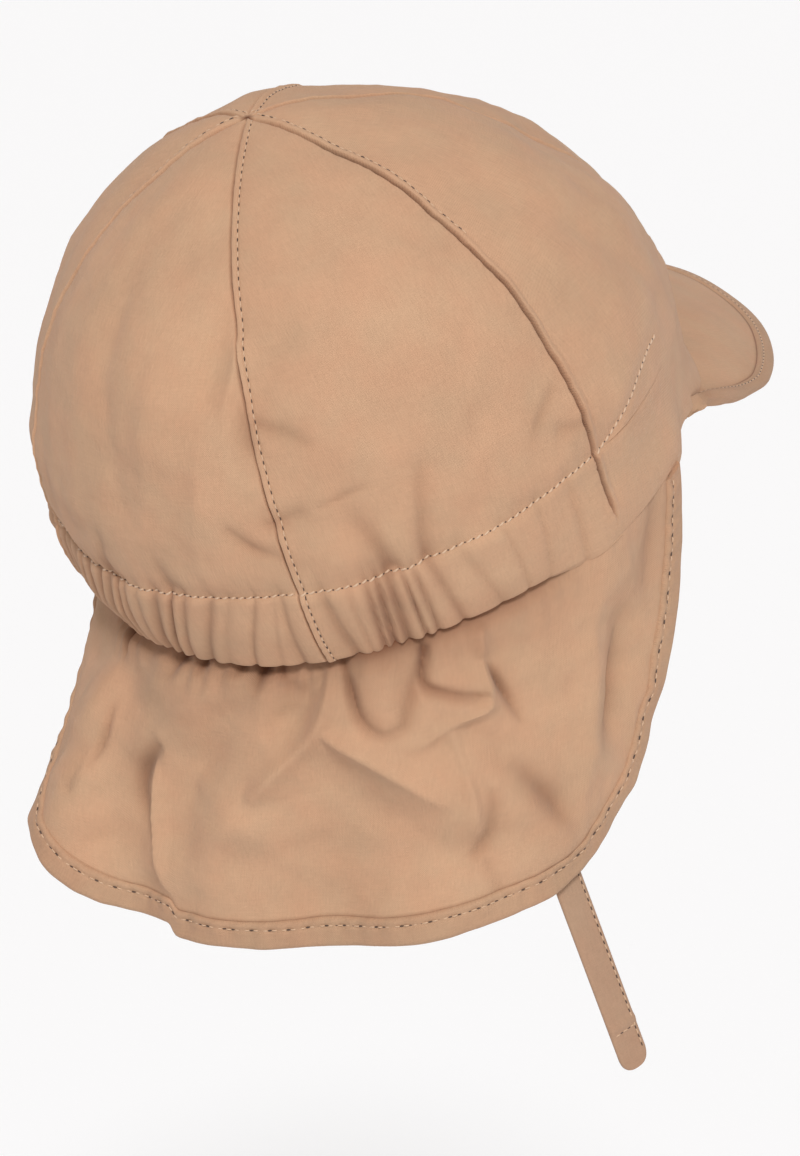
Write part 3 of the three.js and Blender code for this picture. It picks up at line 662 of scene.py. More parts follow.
class ClothPlan:
    """Cloth points in blocks, with quads that join columns running downwards round the head."""

    def __init__(self):
        self.points = []
        self.uvs = []
        self.shades = []
        self.quads = []
        self.count = 0

    def add(self, points, uvs, shade=0.0):
        points = points.reshape(-1, 3)
        self.shades.append(np.clip(np.ravel(shade) + np.zeros(len(points)), 0, 1))
        self.points.append(points)
        self.uvs.append(uvs.reshape(-1, 2))
        self.count += len(points)
        return np.arange(self.count - len(points), self.count)

    def add_wall(self, gore, angle, level):
        """Points of a gore, with its grain and its painted shade."""
        uvs = wall_uvs(gore, angle, level)
        spots = self.add(gore_point(gore, angle, level), uvs, gore_shade(gore, angle, level))
        return spots.reshape(angle.shape)

    def join(self, columns):
        left, right = columns[:-1], columns[1:]
        quads = np.stack([left[:, :-1], left[:, 1:], right[:, 1:], right[:, :-1]], -1)
        self.quads.append(quads.reshape(-1, 4))

    def wall(self, name, thickness):
        outer = np.concatenate(self.points)
        uvs = np.concatenate(self.uvs)
        quads = np.concatenate(self.quads)
        count = len(outer)
        corners = outer[quads]
        crossed = np.cross(corners[:, 2] - corners[:, 0], corners[:, 3] - corners[:, 1])
        normals = np.zeros_like(outer)
        for corner in range(4):
            np.add.at(normals, quads[:, corner], crossed)
        inner = outer - unit(normals) * thickness
        starts = quads.ravel()
        ends = np.roll(quads, -1, axis=1).ravel()
        single = ~np.isin(starts * count + ends, ends * count + starts)
        rim_from, rim_to = starts[single], ends[single]
        rim = np.stack([rim_to, rim_from, rim_from + count, rim_to + count], -1)
        faces = np.concatenate([quads, quads[:, ::-1] + count, rim])
        shade = np.concatenate(self.shades * 2)
        return make_mesh(name, np.concatenate([outer, inner]), faces, np.tile(uvs, (2, 1)), shade=shade)


def ring_faces(count, size):
    """Faces of a closed bar through count rings of size points, with a flat face at each end."""
    index = np.arange(count * size).reshape(count, size)
    after = np.roll(index, -1, axis=1)
    sides = np.stack([index[:-1], after[:-1], after[1:], index[1:]], -1).reshape(-1, 4)
    return [*sides.tolist(), index[0][::-1].tolist(), index[-1].tolist()]


def tube_of_rings(name, rings, uvs):
    return make_mesh(name, rings.reshape(-1, 3), ring_faces(*rings.shape[:2]), uvs.reshape(-1, 2))


def round_steps(count):
    return np.linspace(0, 2 * math.pi, count + 1)[:-1]


def edge_steps(first, last, count, fine_first=False, fine_last=False):
    """Steps from first to last, closer together at a seam."""
    t = np.linspace(0, 1, count + 1)
    if fine_first and fine_last:
        fine = 0.5 - 0.5 * np.cos(math.pi * t)
    elif fine_first:
        fine = t**2
    elif fine_last:
        fine = 1 - (1 - t) ** 2
    else:
        fine = t
    return lerp(first, last, lerp(t, fine, 0.75))


APEX_LEVEL = 2 / math.pi * math.asin((APEX_RADIUS / HALF_WIDTH) ** (BACK_PROFILE["plan"] / 2))


def wall_levels(crown_rows, channel_rows):
    crown = edge_steps(APEX_LEVEL, 1, crown_rows, fine_last=True)
    channel = edge_steps(1, 2, channel_rows, True, True)
    return np.concatenate([crown, channel[1:]])


def wall_uvs(gore, angle, level):
    middle = (gore["from"] + gore["to"]) / 2
    across = np.radians(angle - middle) * local_radius(angle, level)
    down = np.where(level > 1, CROWN_ARC + (level - 1) * CHANNEL_HEIGHT, level * CROWN_ARC)
    return np.stack([across, down], -1)


def gore_panel(name, columns, crown_rows, channel_rows):
    """A gore as one cloth. The front ones reach down over the visor's seam."""
    gore = GORES[name.removesuffix("_cloth")]
    plan = ClothPlan()
    levels = wall_levels(crown_rows, channel_rows)
    if gore["from"] > SEAMS["right"]:
        levels = np.where(levels > 1, lerp(1, LOWER_LEVEL, levels - 1), levels)
    angles = edge_steps(gore["from"], gore["to"], columns, True, True)
    angle, level = np.meshgrid(angles, levels, indexing="ij")
    plan.join(plan.add_wall(gore, angle, level))
    return plan.wall(name, CLOTH)


# Neck flap, cut in one with the side gores


def flap_outline(place, margin):
    """The flap's outline in the flat: place 0 is the bottom's middle, 1 the corner, 2 the front's top."""
    place = np.asarray(place, float)
    straight_share = 0.45
    bottom = FLAP_DROP - margin
    reach = FLAP_END - FLAP_STRAIGHT - margin / MM_PER_DEGREE
    bend = np.clip((np.minimum(place, 1) - straight_share) / (1 - straight_share), 0, 1)
    turn = math.pi / 4 * (bend + np.maximum(place - 1, 0))
    straight = FLAP_STRAIGHT * np.minimum(place / straight_share, 1)
    drop = bottom * np.cos(turn)
    return straight + reach * np.sin(turn) + FLAP_TOP_TURN * np.exp(-drop / FLAP_TOP_FADE), drop


def inside_flap(across, down, margin):
    """A grid that fills the flap's outline, blended from its four sides."""
    top = flap_outline(2, margin)[0]
    side_angle, side_drop = flap_outline(2 - down, margin)
    bottom_angle, bottom_drop = flap_outline(across, margin)
    corner_angle, corner_drop = flap_outline(1, margin)
    middle = flap_outline(0, margin)[1]
    angle = lerp(top * across, bottom_angle, down) + side_angle * across
    angle = angle - lerp(top, corner_angle, down) * across
    drop = bottom_drop * down + lerp(middle * down, side_drop, across)
    drop = drop - lerp(middle, corner_drop, across) * down
    return angle, drop


CLOTH_MARGIN = BINDING_WIDTH - 1
flap_line = flap_outline(2, CLOTH_MARGIN)[0]


def neck_flap(ear_columns=24, flap_columns=270, temple_columns=44, flap_rows=104):
    """The flap and the two side gores in one cloth."""
    plan = ClothPlan()
    left_ear = edge_steps(-flap_line, SEAMS["left"], ear_columns, fine_last=True)
    right_ear = edge_steps(SEAMS["right"], flap_line, ear_columns, fine_first=True)
    middle = np.linspace(SEAMS["left"], SEAMS["right"], flap_columns + 1)
    tops = np.concatenate([left_ear[:-1], middle, right_ear[1:]])
    rows = np.linspace(0, 1, flap_rows + 1)
    share, down = np.meshgrid(np.abs(tops) / flap_line, rows, indexing="ij")
    angle, drop = inside_flap(share, down, CLOTH_MARGIN)
    angle = angle * np.sign(tops)[:, None]
    drop[:, 0] = -FLAP_TURN_UP * (1 - smoothstep(np.abs(tops), SEAMS["right"] - 2.5, SEAMS["right"]))
    uvs = np.stack([angle * MM_PER_DEGREE * (1 + drop / 400), drop + CROWN_ARC + CHANNEL_HEIGHT], -1)
    to_edge = np.minimum((1 - down) * FLAP_DROP, (1 - share) * flap_line * MM_PER_DEGREE)
    # Painted shade in the flap's folds, below the channel and just inside the binding
    shade = flap_shade(angle, drop) + BINDING_SHADE * hollow(to_edge - 0.7, 0.6)
    flap = plan.add(flap_point(angle, drop), uvs, shade).reshape(angle.shape)
    plan.join(flap)
    levels = wall_levels(66, 22)[:-1]
    right, left = GORES["side_right"], GORES["side_left"]
    right_temple = edge_steps(flap_line, right["to"], temple_columns, fine_last=True)[1:]
    left_temple = edge_steps(left["from"], -flap_line, temple_columns, fine_first=True)[:-1]

    def free_feet(gore, angles):
        """The lower edge past the flap, which hides the end of the flap's binding."""
        foot = 2 + (LOWER_LEVEL - 2) * smoothstep(from_back(angles), flap_line, flap_line + 2.5)
        return plan.add(gore_point(gore, angles, foot), wall_uvs(gore, angles, foot))

    def side(gore, angles, feet):
        rows = plan.add_wall(gore, *np.meshgrid(angles, levels, indexing="ij"))
        plan.join(np.concatenate([rows, np.concatenate(feet)[:, None]], axis=1))

    right_free = free_feet(right, right_temple)
    left_free = free_feet(left, left_temple)
    side(right, np.concatenate([right_ear, right_temple]), [flap[-ear_columns - 1 :, 0], right_free])
    side(left, np.concatenate([left_temple, left_ear]), [left_free, flap[: ear_columns + 1, 0]])
    return plan.wall("neck_flap_cloth", CLOTH)


# Bindings


def binding_profile(cloth, steps_across=14):
    """Margins and heights round a folded binding: out over the outer face, round the edge and back."""
    total = cloth + 2 * BINDING_CLOTH
    margins = np.linspace(BINDING_WIDTH, total / 2, steps_across)
    crisp = 1 - np.exp(-(BINDING_WIDTH - margins + 0.12) / 0.35)
    outer = BINDING_CLOTH * crisp - STITCH_SINK * hollow(BINDING_WIDTH - margins - BINDING_STITCH, 0.5)
    turn = np.linspace(0, math.pi, 9)[1:-1]
    fold_margins = total / 2 * (1 - np.sin(turn))
    fold_heights = BINDING_CLOTH - total / 2 * (1 - np.cos(turn))
    heights = [outer, fold_heights, -(cloth + outer[::-1])]
    return np.concatenate([margins, fold_margins, margins[::-1]]), np.concatenate(heights)


def flap_edge(place, margin):
    """The flap's outline from its left front over the bottom to its right front, place -2 to 2."""
    angle, drop = flap_outline(np.abs(place), margin)
    return angle * np.sign(place), drop


def flap_binding(samples=520):
    margins, heights = binding_profile(CLOTH)
    place = np.linspace(-1.985, 1.985, samples)[:, None] * np.ones_like(margins)
    margin = margins * np.ones_like(place)
    angle, drop = flap_edge(place, margin)
    along = run_along(smooth_flap(angle, drop)[:, 0])[:, None] * np.ones_like(margin)
    pucker = 0.22 * np.sin(along * 1.25 + 2.2 * np.sin(along * 0.13))
    pucker = pucker * hollow(margin - BINDING_WIDTH + BINDING_STITCH, 2.6)
    rings = flap_point(angle, drop, heights + pucker * np.sign(heights + CLOTH / 2))
    return tube_of_rings("flap_binding_fold", rings, np.stack([along, margin + heights], -1))


visor_side = table_curve(VISOR_EDGE, "side")
visor_ahead = table_curve(VISOR_EDGE, "ahead")
visor_drop = table_curve(VISOR_EDGE, "drop")
VISOR_END = VISOR_EDGE["angle"][-1]


def visor_run(angle):
    away = np.abs(angle)
    run = [np.sign(angle) * visor_side(away), -visor_ahead(away), -visor_drop(away)]
    return np.stack(run, -1) * VISOR_REACH


def visor_length(angle):
    return np.linalg.norm(visor_run(angle), axis=-1)


def smooth_visor(angle, share):
    """The visor without its puff: share 0 at the rim, 1 at the edge."""
    angle, share = np.broadcast_arrays(np.asarray(angle, float), np.asarray(share, float))
    run = visor_run(angle)
    camber = VISOR_CAMBER * visor_length(angle) / VISOR_REACH * np.sin(math.pi * np.clip(share, 0, 1))
    point = smooth_wall(180 + angle, 2) + run * share[..., None]
    point[..., 2] += camber - VISOR_SEAM_GAP
    return point


def visor_point(angle, share, lift=0):
    return raised(smooth_visor, angle, share, np.asarray(lift, float) + np.zeros(np.shape(share)))


def visor_line(angle, margin):
    return np.maximum(1 - margin / visor_length(angle), VISOR_LEAST_SHARE)


def visor_cloth(columns=170, rows=46):
    plan = ClothPlan()
    angles = np.linspace(-VISOR_END, VISOR_END, columns + 1)
    angle, t = np.meshgrid(angles, np.linspace(0, 1, rows + 1), indexing="ij")
    share = t * visor_line(angle, BINDING_WIDTH - 1)
    length = share * visor_length(angle)
    puff = 0.5 * smoothstep(length, 0, 2.5) - 0.35
    puff = puff + 0.12 * undulation(smooth_visor(angle, share), 30, 12)
    uvs = np.stack([np.radians(angle) * 95, length], -1)
    to_edge = (1 - t) * length / np.maximum(t, 0.01)
    # Painted shade on the visor's cloth just inside its binding
    shade = BINDING_SHADE * hollow(to_edge - 0.7, 0.7)
    plan.join(plan.add(visor_point(angle, share, puff), uvs, shade).reshape(angle.shape))
    return plan.wall("visor_cloth", VISOR_THICKNESS)


def visor_binding(samples=330):
    margins, heights = binding_profile(VISOR_THICKNESS)
    angle = np.linspace(-VISOR_END, VISOR_END, samples)[:, None] * np.ones_like(margins)
    margin = margins * np.ones_like(angle)
    share = np.maximum(1 - margin / visor_length(angle), 0.02)
    along = run_along(smooth_visor(angle[:, 0], 1))[:, None] * np.ones_like(margin)
    rings = visor_point(angle, share, heights)
    return tube_of_rings("visor_binding_fold", rings, np.stack([along, margin + heights], -1))


# Straps


TILT = math.radians(PITCH)
PLUMB = unit(np.array([-STRAP_SWING, math.sin(TILT), -math.cos(TILT)]))
LONG_STRAP = {"side": 1, "hug": FLAP_DROP, "length": STRAP_LENGTH}
SHORT_TAB = {"side": -1, "hug": 0, "length": TAB_LENGTH}


def strap_spot(strap, along, turn=0):
    """A strap's middle: sewn in the channel, then along the flap's inside, then hanging straight."""
    drop = np.clip(along, 0, strap["hug"])
    angle = strap["side"] * (STRAP_ANGLE - STRAP_DRIFT * drop / FLAP_DROP) + turn
    level = 2 + np.minimum(along, 0) / CHANNEL_HEIGHT
    sewn = raised(smooth_wall, angle, level, -STRAP_INSET + 0 * angle)
    valley = np.minimum(flap_drape(smooth_flap(angle, drop)), 0)
    hung = raised(smooth_flap, angle, drop, valley - STRAP_INSET) + PLUMB * (along - drop)[..., None]
    return np.where((along < 0)[..., None], sewn, hung)


def strap_frame(strap, along):
    spot = strap_spot(strap, along)
    ahead = unit(strap_spot(strap, along + 0.5) - strap_spot(strap, along - 0.5))
    across = strap_spot(strap, along, 0.5) - strap_spot(strap, along, -0.5)
    across = unit(across - (across * ahead).sum(-1, keepdims=True) * ahead)
    return spot, across, np.cross(ahead, across)


def strap_tape(name, strap, steps=150):
    full = strap["length"] - STRAP_WIDTH / 2
    turns = np.radians(np.linspace(4, 89, 16))
    straight = np.linspace(-STRAP_SEWN, full, steps)
    along = np.concatenate([straight, full + STRAP_WIDTH / 2 * np.sin(turns)])
    width = np.concatenate([np.full(steps, 1.0), np.cos(turns) ** 0.55]) * STRAP_WIDTH / 2
    spot, across, out = strap_frame(strap, along)
    around = round_steps(24)
    x = np.sign(np.cos(around)) * np.abs(np.cos(around)) ** 0.35
    y = np.sign(np.sin(around)) * np.abs(np.sin(around)) ** 0.6
    ridge = 0.7 * hollow(along - strap["length"] + STRAP_RIDGE, 0.9)
    lift = y * STRAP_THICKNESS / 2 + np.maximum(y, 0) * ridge[:, None]
    rings = spot[:, None] + across[:, None] * (x * width[:, None])[..., None]
    rings = rings + out[:, None] * lift[..., None]
    uvs = np.stack([x * width[:, None], along[:, None] * np.ones_like(x)], -1)
    return tube_of_rings(name, rings, uvs)


# Stitching


# Stitches: length, gap, radius of the thread, slant in degrees, length and width of a needle hole's
# painted shade
SEAM_STITCH = {"length": 1.35, "gap": 0.95, "radius": 0.19, "slant": 0, "hole": (1.15, 0.34)}
BAND_STITCH = {"length": 1.6, "gap": 0.45, "radius": 0.26, "slant": 20, "hole": (0.55, 0.5)}


def stitch_template(length, radius):
    """One stitch along +X, lying in the cloth at its ends: rings of six points."""
    rings = [(-0.5, 0.35, -0.1), (-0.36, 0.9, 0.04), (0, 1, 0.12), (0.36, 0.9, 0.04), (0.5, 0.35, -0.1)]
    around = round_steps(6)
    points = [
        [x * length, radius * size * math.cos(a), radius * size * math.sin(a) + lift]
        for x, size, lift in rings
        for a in around
    ]
    return np.array(points), ring_faces(len(rings), len(around))


def hole_template(length, width):
    """The painted shade of a needle hole: a low dark dome along +X."""
    around = round_steps(8)
    rim = np.stack([np.cos(around) * length / 2, np.sin(around) * width / 2, 0 * around], -1)
    rim[:, 2] = -0.1
    ring = rim * 0.7 + np.array([0, 0, 0.22])
    return np.concatenate([rim, ring]), ring_faces(2, len(around))


def stitches(name, rows, kind, hole=False):
    """Rows of stitches, or of dark domes between them that paint the needle holes' shade, over points with
    their surface normals.
    """
    length, gap = kind["length"], kind["gap"]
    if hole:
        start, slant = length + gap / 2, 0
        template, template_faces = hole_template(*kind["hole"])
    else:
        start, slant = length / 2, kind["slant"]
        template, template_faces = stitch_template(length, kind["radius"])
    template = template @ np.array(Matrix.Rotation(math.radians(-slant), 3, "Z"))
    points, faces, count = [], [], 0
    for path, normals in rows:
        runs = run_along(path)

        def at(run, values):
            return np.array([np.interp(run, runs, values[:, i]) for i in range(3)])

        for centre in np.arange(start, runs[-1] - length / 2, length + gap):
            spot = at(centre, path)
            ahead = unit(at(centre + length / 2, path) - at(centre - length / 2, path))
            up = at(centre, normals)
            up = unit(up - up @ ahead * ahead)
            side = np.cross(up, ahead)
            points.append(spot + template @ np.stack([ahead, side, up]))
            faces.extend([[corner + count for corner in face] for face in template_faces])
            count += len(template)
    return make_mesh(name, np.concatenate(points), faces, smooth_angle=80)


def on_gore(gore, angle, level):
    """Points on a gore with the smooth wall's normals there."""
    relief = gore_relief(angle, level, gore)
    return raised(smooth_wall, angle, level, relief), normal_of(smooth_wall, angle, level)


def seam_row(name, side, levels):
    """Stitches beside the seam at one side of a gore, "from" or "to"."""
    gore = GORES[name]
    level = np.asarray(levels, float)
    step = np.degrees(STITCH_OFFSET / local_radius(np.full_like(level, gore[side]), level))
    angle = gore[side] + step * (1 if side == "from" else -1)
    return on_gore(gore, angle, level)


def band_row(name, first, last):
    angle = np.linspace(first, last, 240)
    return on_gore(GORES[name], angle, stitch_level(angle))


def flap_row():
    angle, drop = flap_edge(np.linspace(-1.97, 1.97, 700), BINDING_WIDTH - BINDING_STITCH)
    return flap_point(angle, drop, BINDING_CLOTH - STITCH_SINK), normal_of(smooth_flap, angle, drop)


def visor_row():
    angle = np.linspace(-VISOR_END + 1, VISOR_END - 1, 500)
    share = np.maximum(1 - (BINDING_WIDTH - BINDING_STITCH) / visor_length(angle), 0.1)
    spots = visor_point(angle, share, BINDING_CLOTH - STITCH_SINK)
    return spots, normal_of(smooth_visor, angle, share)


def strap_row(strap, share, along):
    """Stitches on a strap's outer face, at a share of its half width."""
    share, along = np.broadcast_arrays(share, along)
    spot, across, out = strap_frame(strap, along)
    reach = (share * STRAP_WIDTH / 2)[:, None]
    return spot + across * reach + out * STRAP_THICKNESS / 2, out


# Materials


COTTON = (0.555, 0.333, 0.205)
BINDING_TONE = 0.86
STRAP_COTTON = (0.43, 0.265, 0.172)
SEWING_THREAD = (0.62, 0.41, 0.26)
BAND_THREAD = (0.66, 0.46, 0.31)
# Near-black colour of the domes that paint the needle holes' shade
PAINTED_HOLE_SHADE = (0.07, 0.035, 0.02)
FASTENER = (0.5, 0.33, 0.2)
# Colour that the Shade attribute darkens the cloth towards: painted shade in seams, folds, gathers and by
# the bindings
PAINTED_SHADE_COLOUR = (0.22, 0.1, 0.05, 1)
THREAD_PITCH = 0.44


class Shader:
    """A material, with short calls for the nodes that lead to its surface."""

    def __init__(self, name, settings):
        self.material = bpy.data.materials.new(name)
        self.material.use_nodes = True
        self.nodes = self.material.node_tree.nodes
        self.surface = self.nodes["Principled BSDF"]
        for socket, value in settings.items():
            self.surface.inputs[socket].default_value = value

    def link(self, source, target):
        self.material.node_tree.links.new(source, target)

    def node(self, kind, vector=None, **values):
        node = self.nodes.new("ShaderNode" + kind)
        for socket, value in values.items():
            node.inputs[socket].default_value = value
        if vector is not None:
            self.link(vector, node.inputs["Vector"])
        return node

    def math(self, operation, *values):
        node = self.node("Math")
        node.operation = operation
        for socket, value in zip(node.inputs, values):
            if isinstance(value, (int, float)):
                socket.default_value = value
            else:
                self.link(value, socket)
        return node.outputs[0]

    def total(self, *terms):
        """The sum of some values, each times its weight."""
        parts = [self.math("MULTIPLY", value, weight) for value, weight in terms]
        result = parts[0]
        for part in parts[1:]:
            result = self.math("ADD", result, part)
        return result

    def ramp(self, source, low, high, start=0, end=1):
        node = self.node("ValToRGB")
        for spot, place, colour in zip(node.color_ramp.elements, (start, end), (low, high)):
            spot.position = place
            spot.color = (*colour, 1)
        self.link(source, node.inputs[0])
        return node.outputs[0]

    def multiply(self, colour):
        """A node that multiplies a colour by its input B, as far as its Factor says."""
        node = self.node("Mix")
        node.data_type = "RGBA"
        node.blend_type = "MULTIPLY"
        self.link(colour, node.inputs["A"])
        return node

    def bump(self, height, strength, distance):
        node = self.node("Bump", Strength=strength, Distance=distance)
        self.link(height, node.inputs["Height"])
        self.link(node.outputs[0], self.surface.inputs["Normal"])


def shades(colour, low, high=1):
    return [c * low for c in colour], [c * high for c in colour]


def cotton(name, colour, spread=0.1):
    """Plain woven cotton: crossing threads from the Weave map, uneven yarns, uneven dye, and painted shade
    from the Shade attribute.
    """
    cloth = Shader(
        name,
        {"Roughness": 0.82, "Sheen Weight": 0.08, "Sheen Roughness": 0.45, "Specular IOR Level": 0.25},
    )
    grain = cloth.node("UVMap")
    grain.uv_map = "Weave"
    parts = cloth.node("SeparateXYZ")
    cloth.link(grain.outputs[0], parts.inputs[0])
    place = cloth.node("TexCoord").outputs["Object"]

    def wave(axis):
        return cloth.math("SINE", cloth.math("MULTIPLY", parts.outputs[axis], 2 * math.pi / THREAD_PITCH))

    def yarns(stretch, scale, turn=0.0):
        turned = cloth.node("Mapping", grain.outputs[0], Rotation=(0, 0, turn), Scale=stretch)
        return cloth.node("TexNoise", turned.outputs[0], Scale=scale, Detail=2).outputs["Fac"]

    def clouds(scale, roughness):
        return cloth.node("TexNoise", place, Scale=scale, Detail=4, Roughness=roughness).outputs["Fac"]

    crossing = cloth.math("MULTIPLY", wave("X"), wave("Y"))
    slubs = cloth.math("ADD", yarns((1, 0.09, 1), 2.1), yarns((0.09, 1, 1), 2.1))
    twill = yarns((1, 0.3, 1), 1.7, math.radians(40))
    tone = cloth.total((slubs, 0.25), (clouds(60, 0.6), 0.6), (twill, 0.35), (crossing, 0.12))
    dyed = cloth.multiply(cloth.ramp(tone, *shades(colour, 1 - spread, 1 + spread), 0.45, 1))
    dyed.inputs["Factor"].default_value = 1
    tint = cloth.ramp(clouds(95, 0.5), (0.975, 1, 1), (1, 0.965, 0.955), 0.35, 0.65)
    cloth.link(tint, dyed.inputs["B"])
    # Painted shade: the Shade attribute darkens the dyed colour towards the dark fold colour
    folded = cloth.multiply(dyed.outputs["Result"])
    folded.inputs["B"].default_value = PAINTED_SHADE_COLOUR
    depth = cloth.node("Attribute")
    depth.attribute_name = "Shade"
    cloth.link(depth.outputs["Fac"], folded.inputs["Factor"])
    cloth.link(folded.outputs["Result"], cloth.surface.inputs["Base Color"])
    cloth.bump(cloth.total((crossing, 0.4), (slubs, 0.7), (twill, 1.2)), 0.5, 0.00025)
    return cloth.material


def fine_fibre(name, colour, texture, output, scale, dark, bump, settings):
    """Fibre too fine to model: one small texture as darker spots and as bump."""
    fibre = Shader(name, settings)
    place = fibre.node("TexCoord").outputs["Object"]
    grain = fibre.node(texture, place, Scale=scale).outputs[output]
    fibre.link(fibre.ramp(grain, *shades(colour, dark)), fibre.surface.inputs["Base Color"])
    fibre.bump(grain, *bump)
    return fibre.material


def thread(name, colour):
    """Sewing thread with its ply twist."""
    finish = {"Roughness": 0.6, "Sheen Weight": 0.2}
    return fine_fibre(name, colour, "TexNoise", "Fac", 2600, 0.86, (0.4, 0.0001), finish)


def fastener(name, colour):
    """Hook and loop tape with its dense fine loops."""
    finish = {"Roughness": 0.75}
    return fine_fibre(name, colour, "TexVoronoi", "Distance", 1800, 0.75, (0.8, 0.0003), finish)


# Camera, floor and light


def cap_camera():
    """The photograph's camera, aimed at the picture's middle, which lies beside the cap's origin."""
    azimuth, height, roll = (math.radians(a) for a in (CAMERA_AZIMUTH, CAMERA_HEIGHT, CAMERA_ROLL))
    level_right = Vector((-math.cos(azimuth), -math.sin(azimuth), 0))
    level_back = Vector((-math.sin(azimuth), math.cos(azimuth), 0))
    towards = level_back * math.cos(height) + Vector((0, 0, math.sin(height)))
    level_up = towards.cross(level_right)
    right = math.cos(roll) * level_right - math.sin(roll) * level_up
    up = math.sin(roll) * level_right + math.cos(roll) * level_up
    focal = PIXELS_PER_MM * CAMERA_DISTANCE
    aside = (PHOTO_WIDTH / 2 - ORIGIN_PIXEL[0]) / focal
    below = (PHOTO_HEIGHT / 2 - ORIGIN_PIXEL[1]) / focal
    back = (towards - right * aside + up * below).normalized()
    up = (up - back * up.dot(back)).normalized()
    right = up.cross(back)
    place = Matrix((right, up, back)).transposed()
    camera_data = bpy.data.cameras.new("Camera")
    camera_data.sensor_width = SENSOR
    camera_data.lens = focal / PHOTO_HEIGHT * SENSOR
    camera_data.clip_start = 0.01
    camera = bpy.data.objects.new("Camera", camera_data)
    turned = (TO_ROW @ place).to_4x4()
    camera.matrix_world = Matrix.Translation(TO_ROW @ towards * CAMERA_DISTANCE / 1000) @ turned
    bpy.context.collection.objects.link(camera)
    bpy.context.scene.camera = camera


def soft_light(name, azimuth, height, spread, strength):
    """Far soft light over an angle of spread degrees, coming from azimuth 0 at -Y and 90 at +X."""
    a, h = math.radians(azimuth), math.radians(height)
    way = Vector((math.sin(a) * math.cos(h), -math.cos(a) * math.cos(h), math.sin(h)))
    data = bpy.data.lights.new(name, "SUN")
    data.angle = math.radians(spread)
    data.energy = strength
    data.color = LIGHT_COLOUR
    light = bpy.data.objects.new(name, data)
    light.location = way * 2
    light.rotation_mode = "QUATERNION"
    light.rotation_quaternion = way.to_track_quat("Z", "Y")
    bpy.context.collection.objects.link(light)


def studio():
    mesh = bpy.data.meshes.new("floor")
    corners = [(-1, -1), (1, -1), (1, 1), (-1, 1)]
    floor_points = [(x * FLOOR_REACH, y * FLOOR_REACH, FLOOR_LEVEL) for x, y in corners]
    mesh.from_pydata(floor_points, [], [(0, 1, 2, 3)])
    floor = bpy.data.objects.new("floor", mesh)
    bpy.context.collection.objects.link(floor)
    paper = Shader("floor_paper", {"Base Color": (0.98, 0.985, 1, 1), "Roughness": 0.9})
    mesh.materials.append(paper.material)
    world = bpy.data.worlds.new("World")
    world.use_nodes = True
    background = world.node_tree.nodes["Background"]
    background.inputs["Color"].default_value = WORLD_COLOUR
    background.inputs["Strength"].default_value = WORLD_STRENGTH
    bpy.context.scene.world = world
    bpy.context.scene.view_settings.view_transform = "Standard"
    for light in LIGHTS:
        soft_light(*light)


def dress(piece, material, slot_name, *nodes):
    """Gives a piece its material and body (its slot_name is not used), and hides the solids that it stands
    for.
    """
    piece.data.materials.append(material)
    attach(piece, "root")
    if nodes:
        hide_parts(*nodes)
    return piece


cap_camera()
studio()

cotton_cloth = cotton("cotton", COTTON)
binding_cloth = cotton("binding_cotton", [c * BINDING_TONE for c in COTTON])
strap_cloth = cotton("strap_cotton", STRAP_COTTON)
sewing_thread = thread("sewing_thread", SEWING_THREAD)
band_thread = thread("band_thread", BAND_THREAD)
# Painted shade of the needle holes: near-black domes in the thread material
hole_shade = thread("painted_hole_shade", PAINTED_HOLE_SHADE)
fastener_tape = fastener("fastener_tape", FASTENER)

# Areas of the cuts in square metres
GORE_AREAS = {
    "back_panel_right": 0.0097,
    "back_panel_left": 0.0104,
    "front_panel_right": 0.0092,
    "front_panel_left": 0.0102,
}
for gore_name, cut_area in GORE_AREAS.items():
    fine = (200, 110, 44) if gore_name.startswith("back") else (110, 84, 20)
    gore_piece = dress(gore_panel(gore_name + "_cloth", *fine), cotton_cloth, "cotton", gore_name)

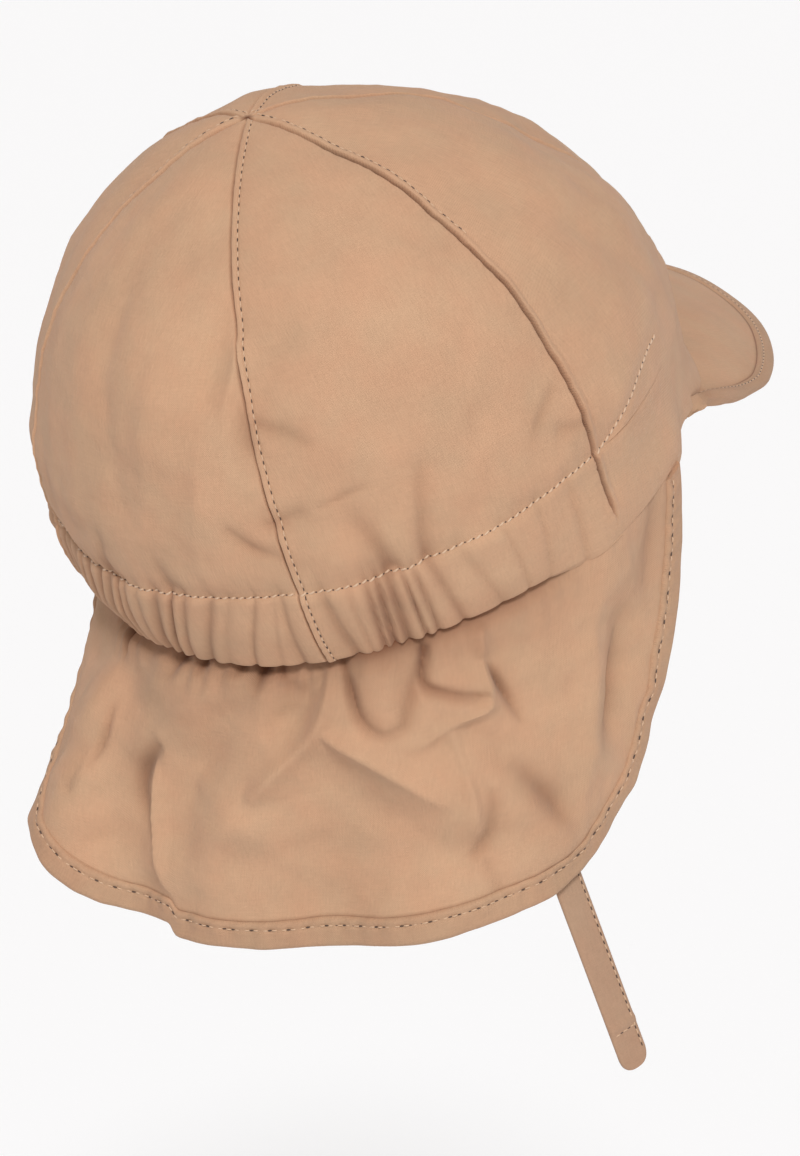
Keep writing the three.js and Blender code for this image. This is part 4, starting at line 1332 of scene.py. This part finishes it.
flap = dress(neck_flap(), cotton_cloth, "cotton", "neck_flap")
hem = dress(flap_binding(), binding_cloth, "binding", "flap_binding")
dress(visor_cloth(), cotton_cloth, "cotton", "visor")
dress(visor_binding(), binding_cloth, "binding", "visor_binding")
for tape_name, strap, node in (
    ("strap_tape", LONG_STRAP, "chin_strap"),
    ("tab_tape", SHORT_TAB, "chin_strap_tab"),
):
    tape = dress(strap_tape(tape_name, strap), strap_cloth, "binding", node)
    line = to_row(strap_spot(strap, np.linspace(-STRAP_SEWN, strap["length"], 120)))

# Seams from near the apex to a level: gore, its side, level at the row's end, points
SEAM_ROWS = [
    ("back_panel_right", "from", 1.97, 300),
    ("side_right", "from", 0.55, 120),
    ("side_left", "to", 0.995, 200),
    ("front_panel_right", "from", 1.97, 300),
    ("front_panel_right", "to", 1.97, 300),
    ("front_panel_left", "to", 1.97, 300),
]
BAND_ROWS = [
    ("side_left", -82, -63.4),
    ("back_panel_left", -62.6, -0.3),
    ("back_panel_right", 0.3, 56.7),
    ("side_right", 57.4, 82),
]
# Rows on the strap and the tab: the strap, the share of its half width, and the lengths along it
STRAP_ROWS = [
    (LONG_STRAP, 0.72, np.linspace(-5, STRAP_LENGTH - 3, 120)),
    (LONG_STRAP, np.linspace(-0.75, 0.75, 30), STRAP_LENGTH - 10.0),
    (SHORT_TAB, 0.72, np.linspace(-5, TAB_LENGTH - 3, 120)),
]
STITCHED_ROWS = {
    "seam": [seam_row(name, side, np.linspace(0.03, end, count)) for name, side, end, count in SEAM_ROWS],
    "hem": [flap_row()],
    "visor": [visor_row()],
    "strap": [strap_row(*row) for row in STRAP_ROWS],
    "band": [band_row(*row) for row in BAND_ROWS],
}
for row_name, rows in STITCHED_ROWS.items():
    kind = BAND_STITCH if row_name == "band" else SEAM_STITCH
    row_thread = band_thread if row_name == "band" else sewing_thread
    dress(stitches(row_name + "_stitches", rows, kind), row_thread, "binding")
    # Dark domes between the stitches paint the shade in the needle holes
    dress(stitches(row_name + "_painted_hole_shades", rows, kind, hole=True), hole_shade, "binding")

for node in ("strap_hook_patch", "tab_loop_patch"):
    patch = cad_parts[node]
    patch.data.materials.clear()
    patch.data.materials.append(fastener_tape)
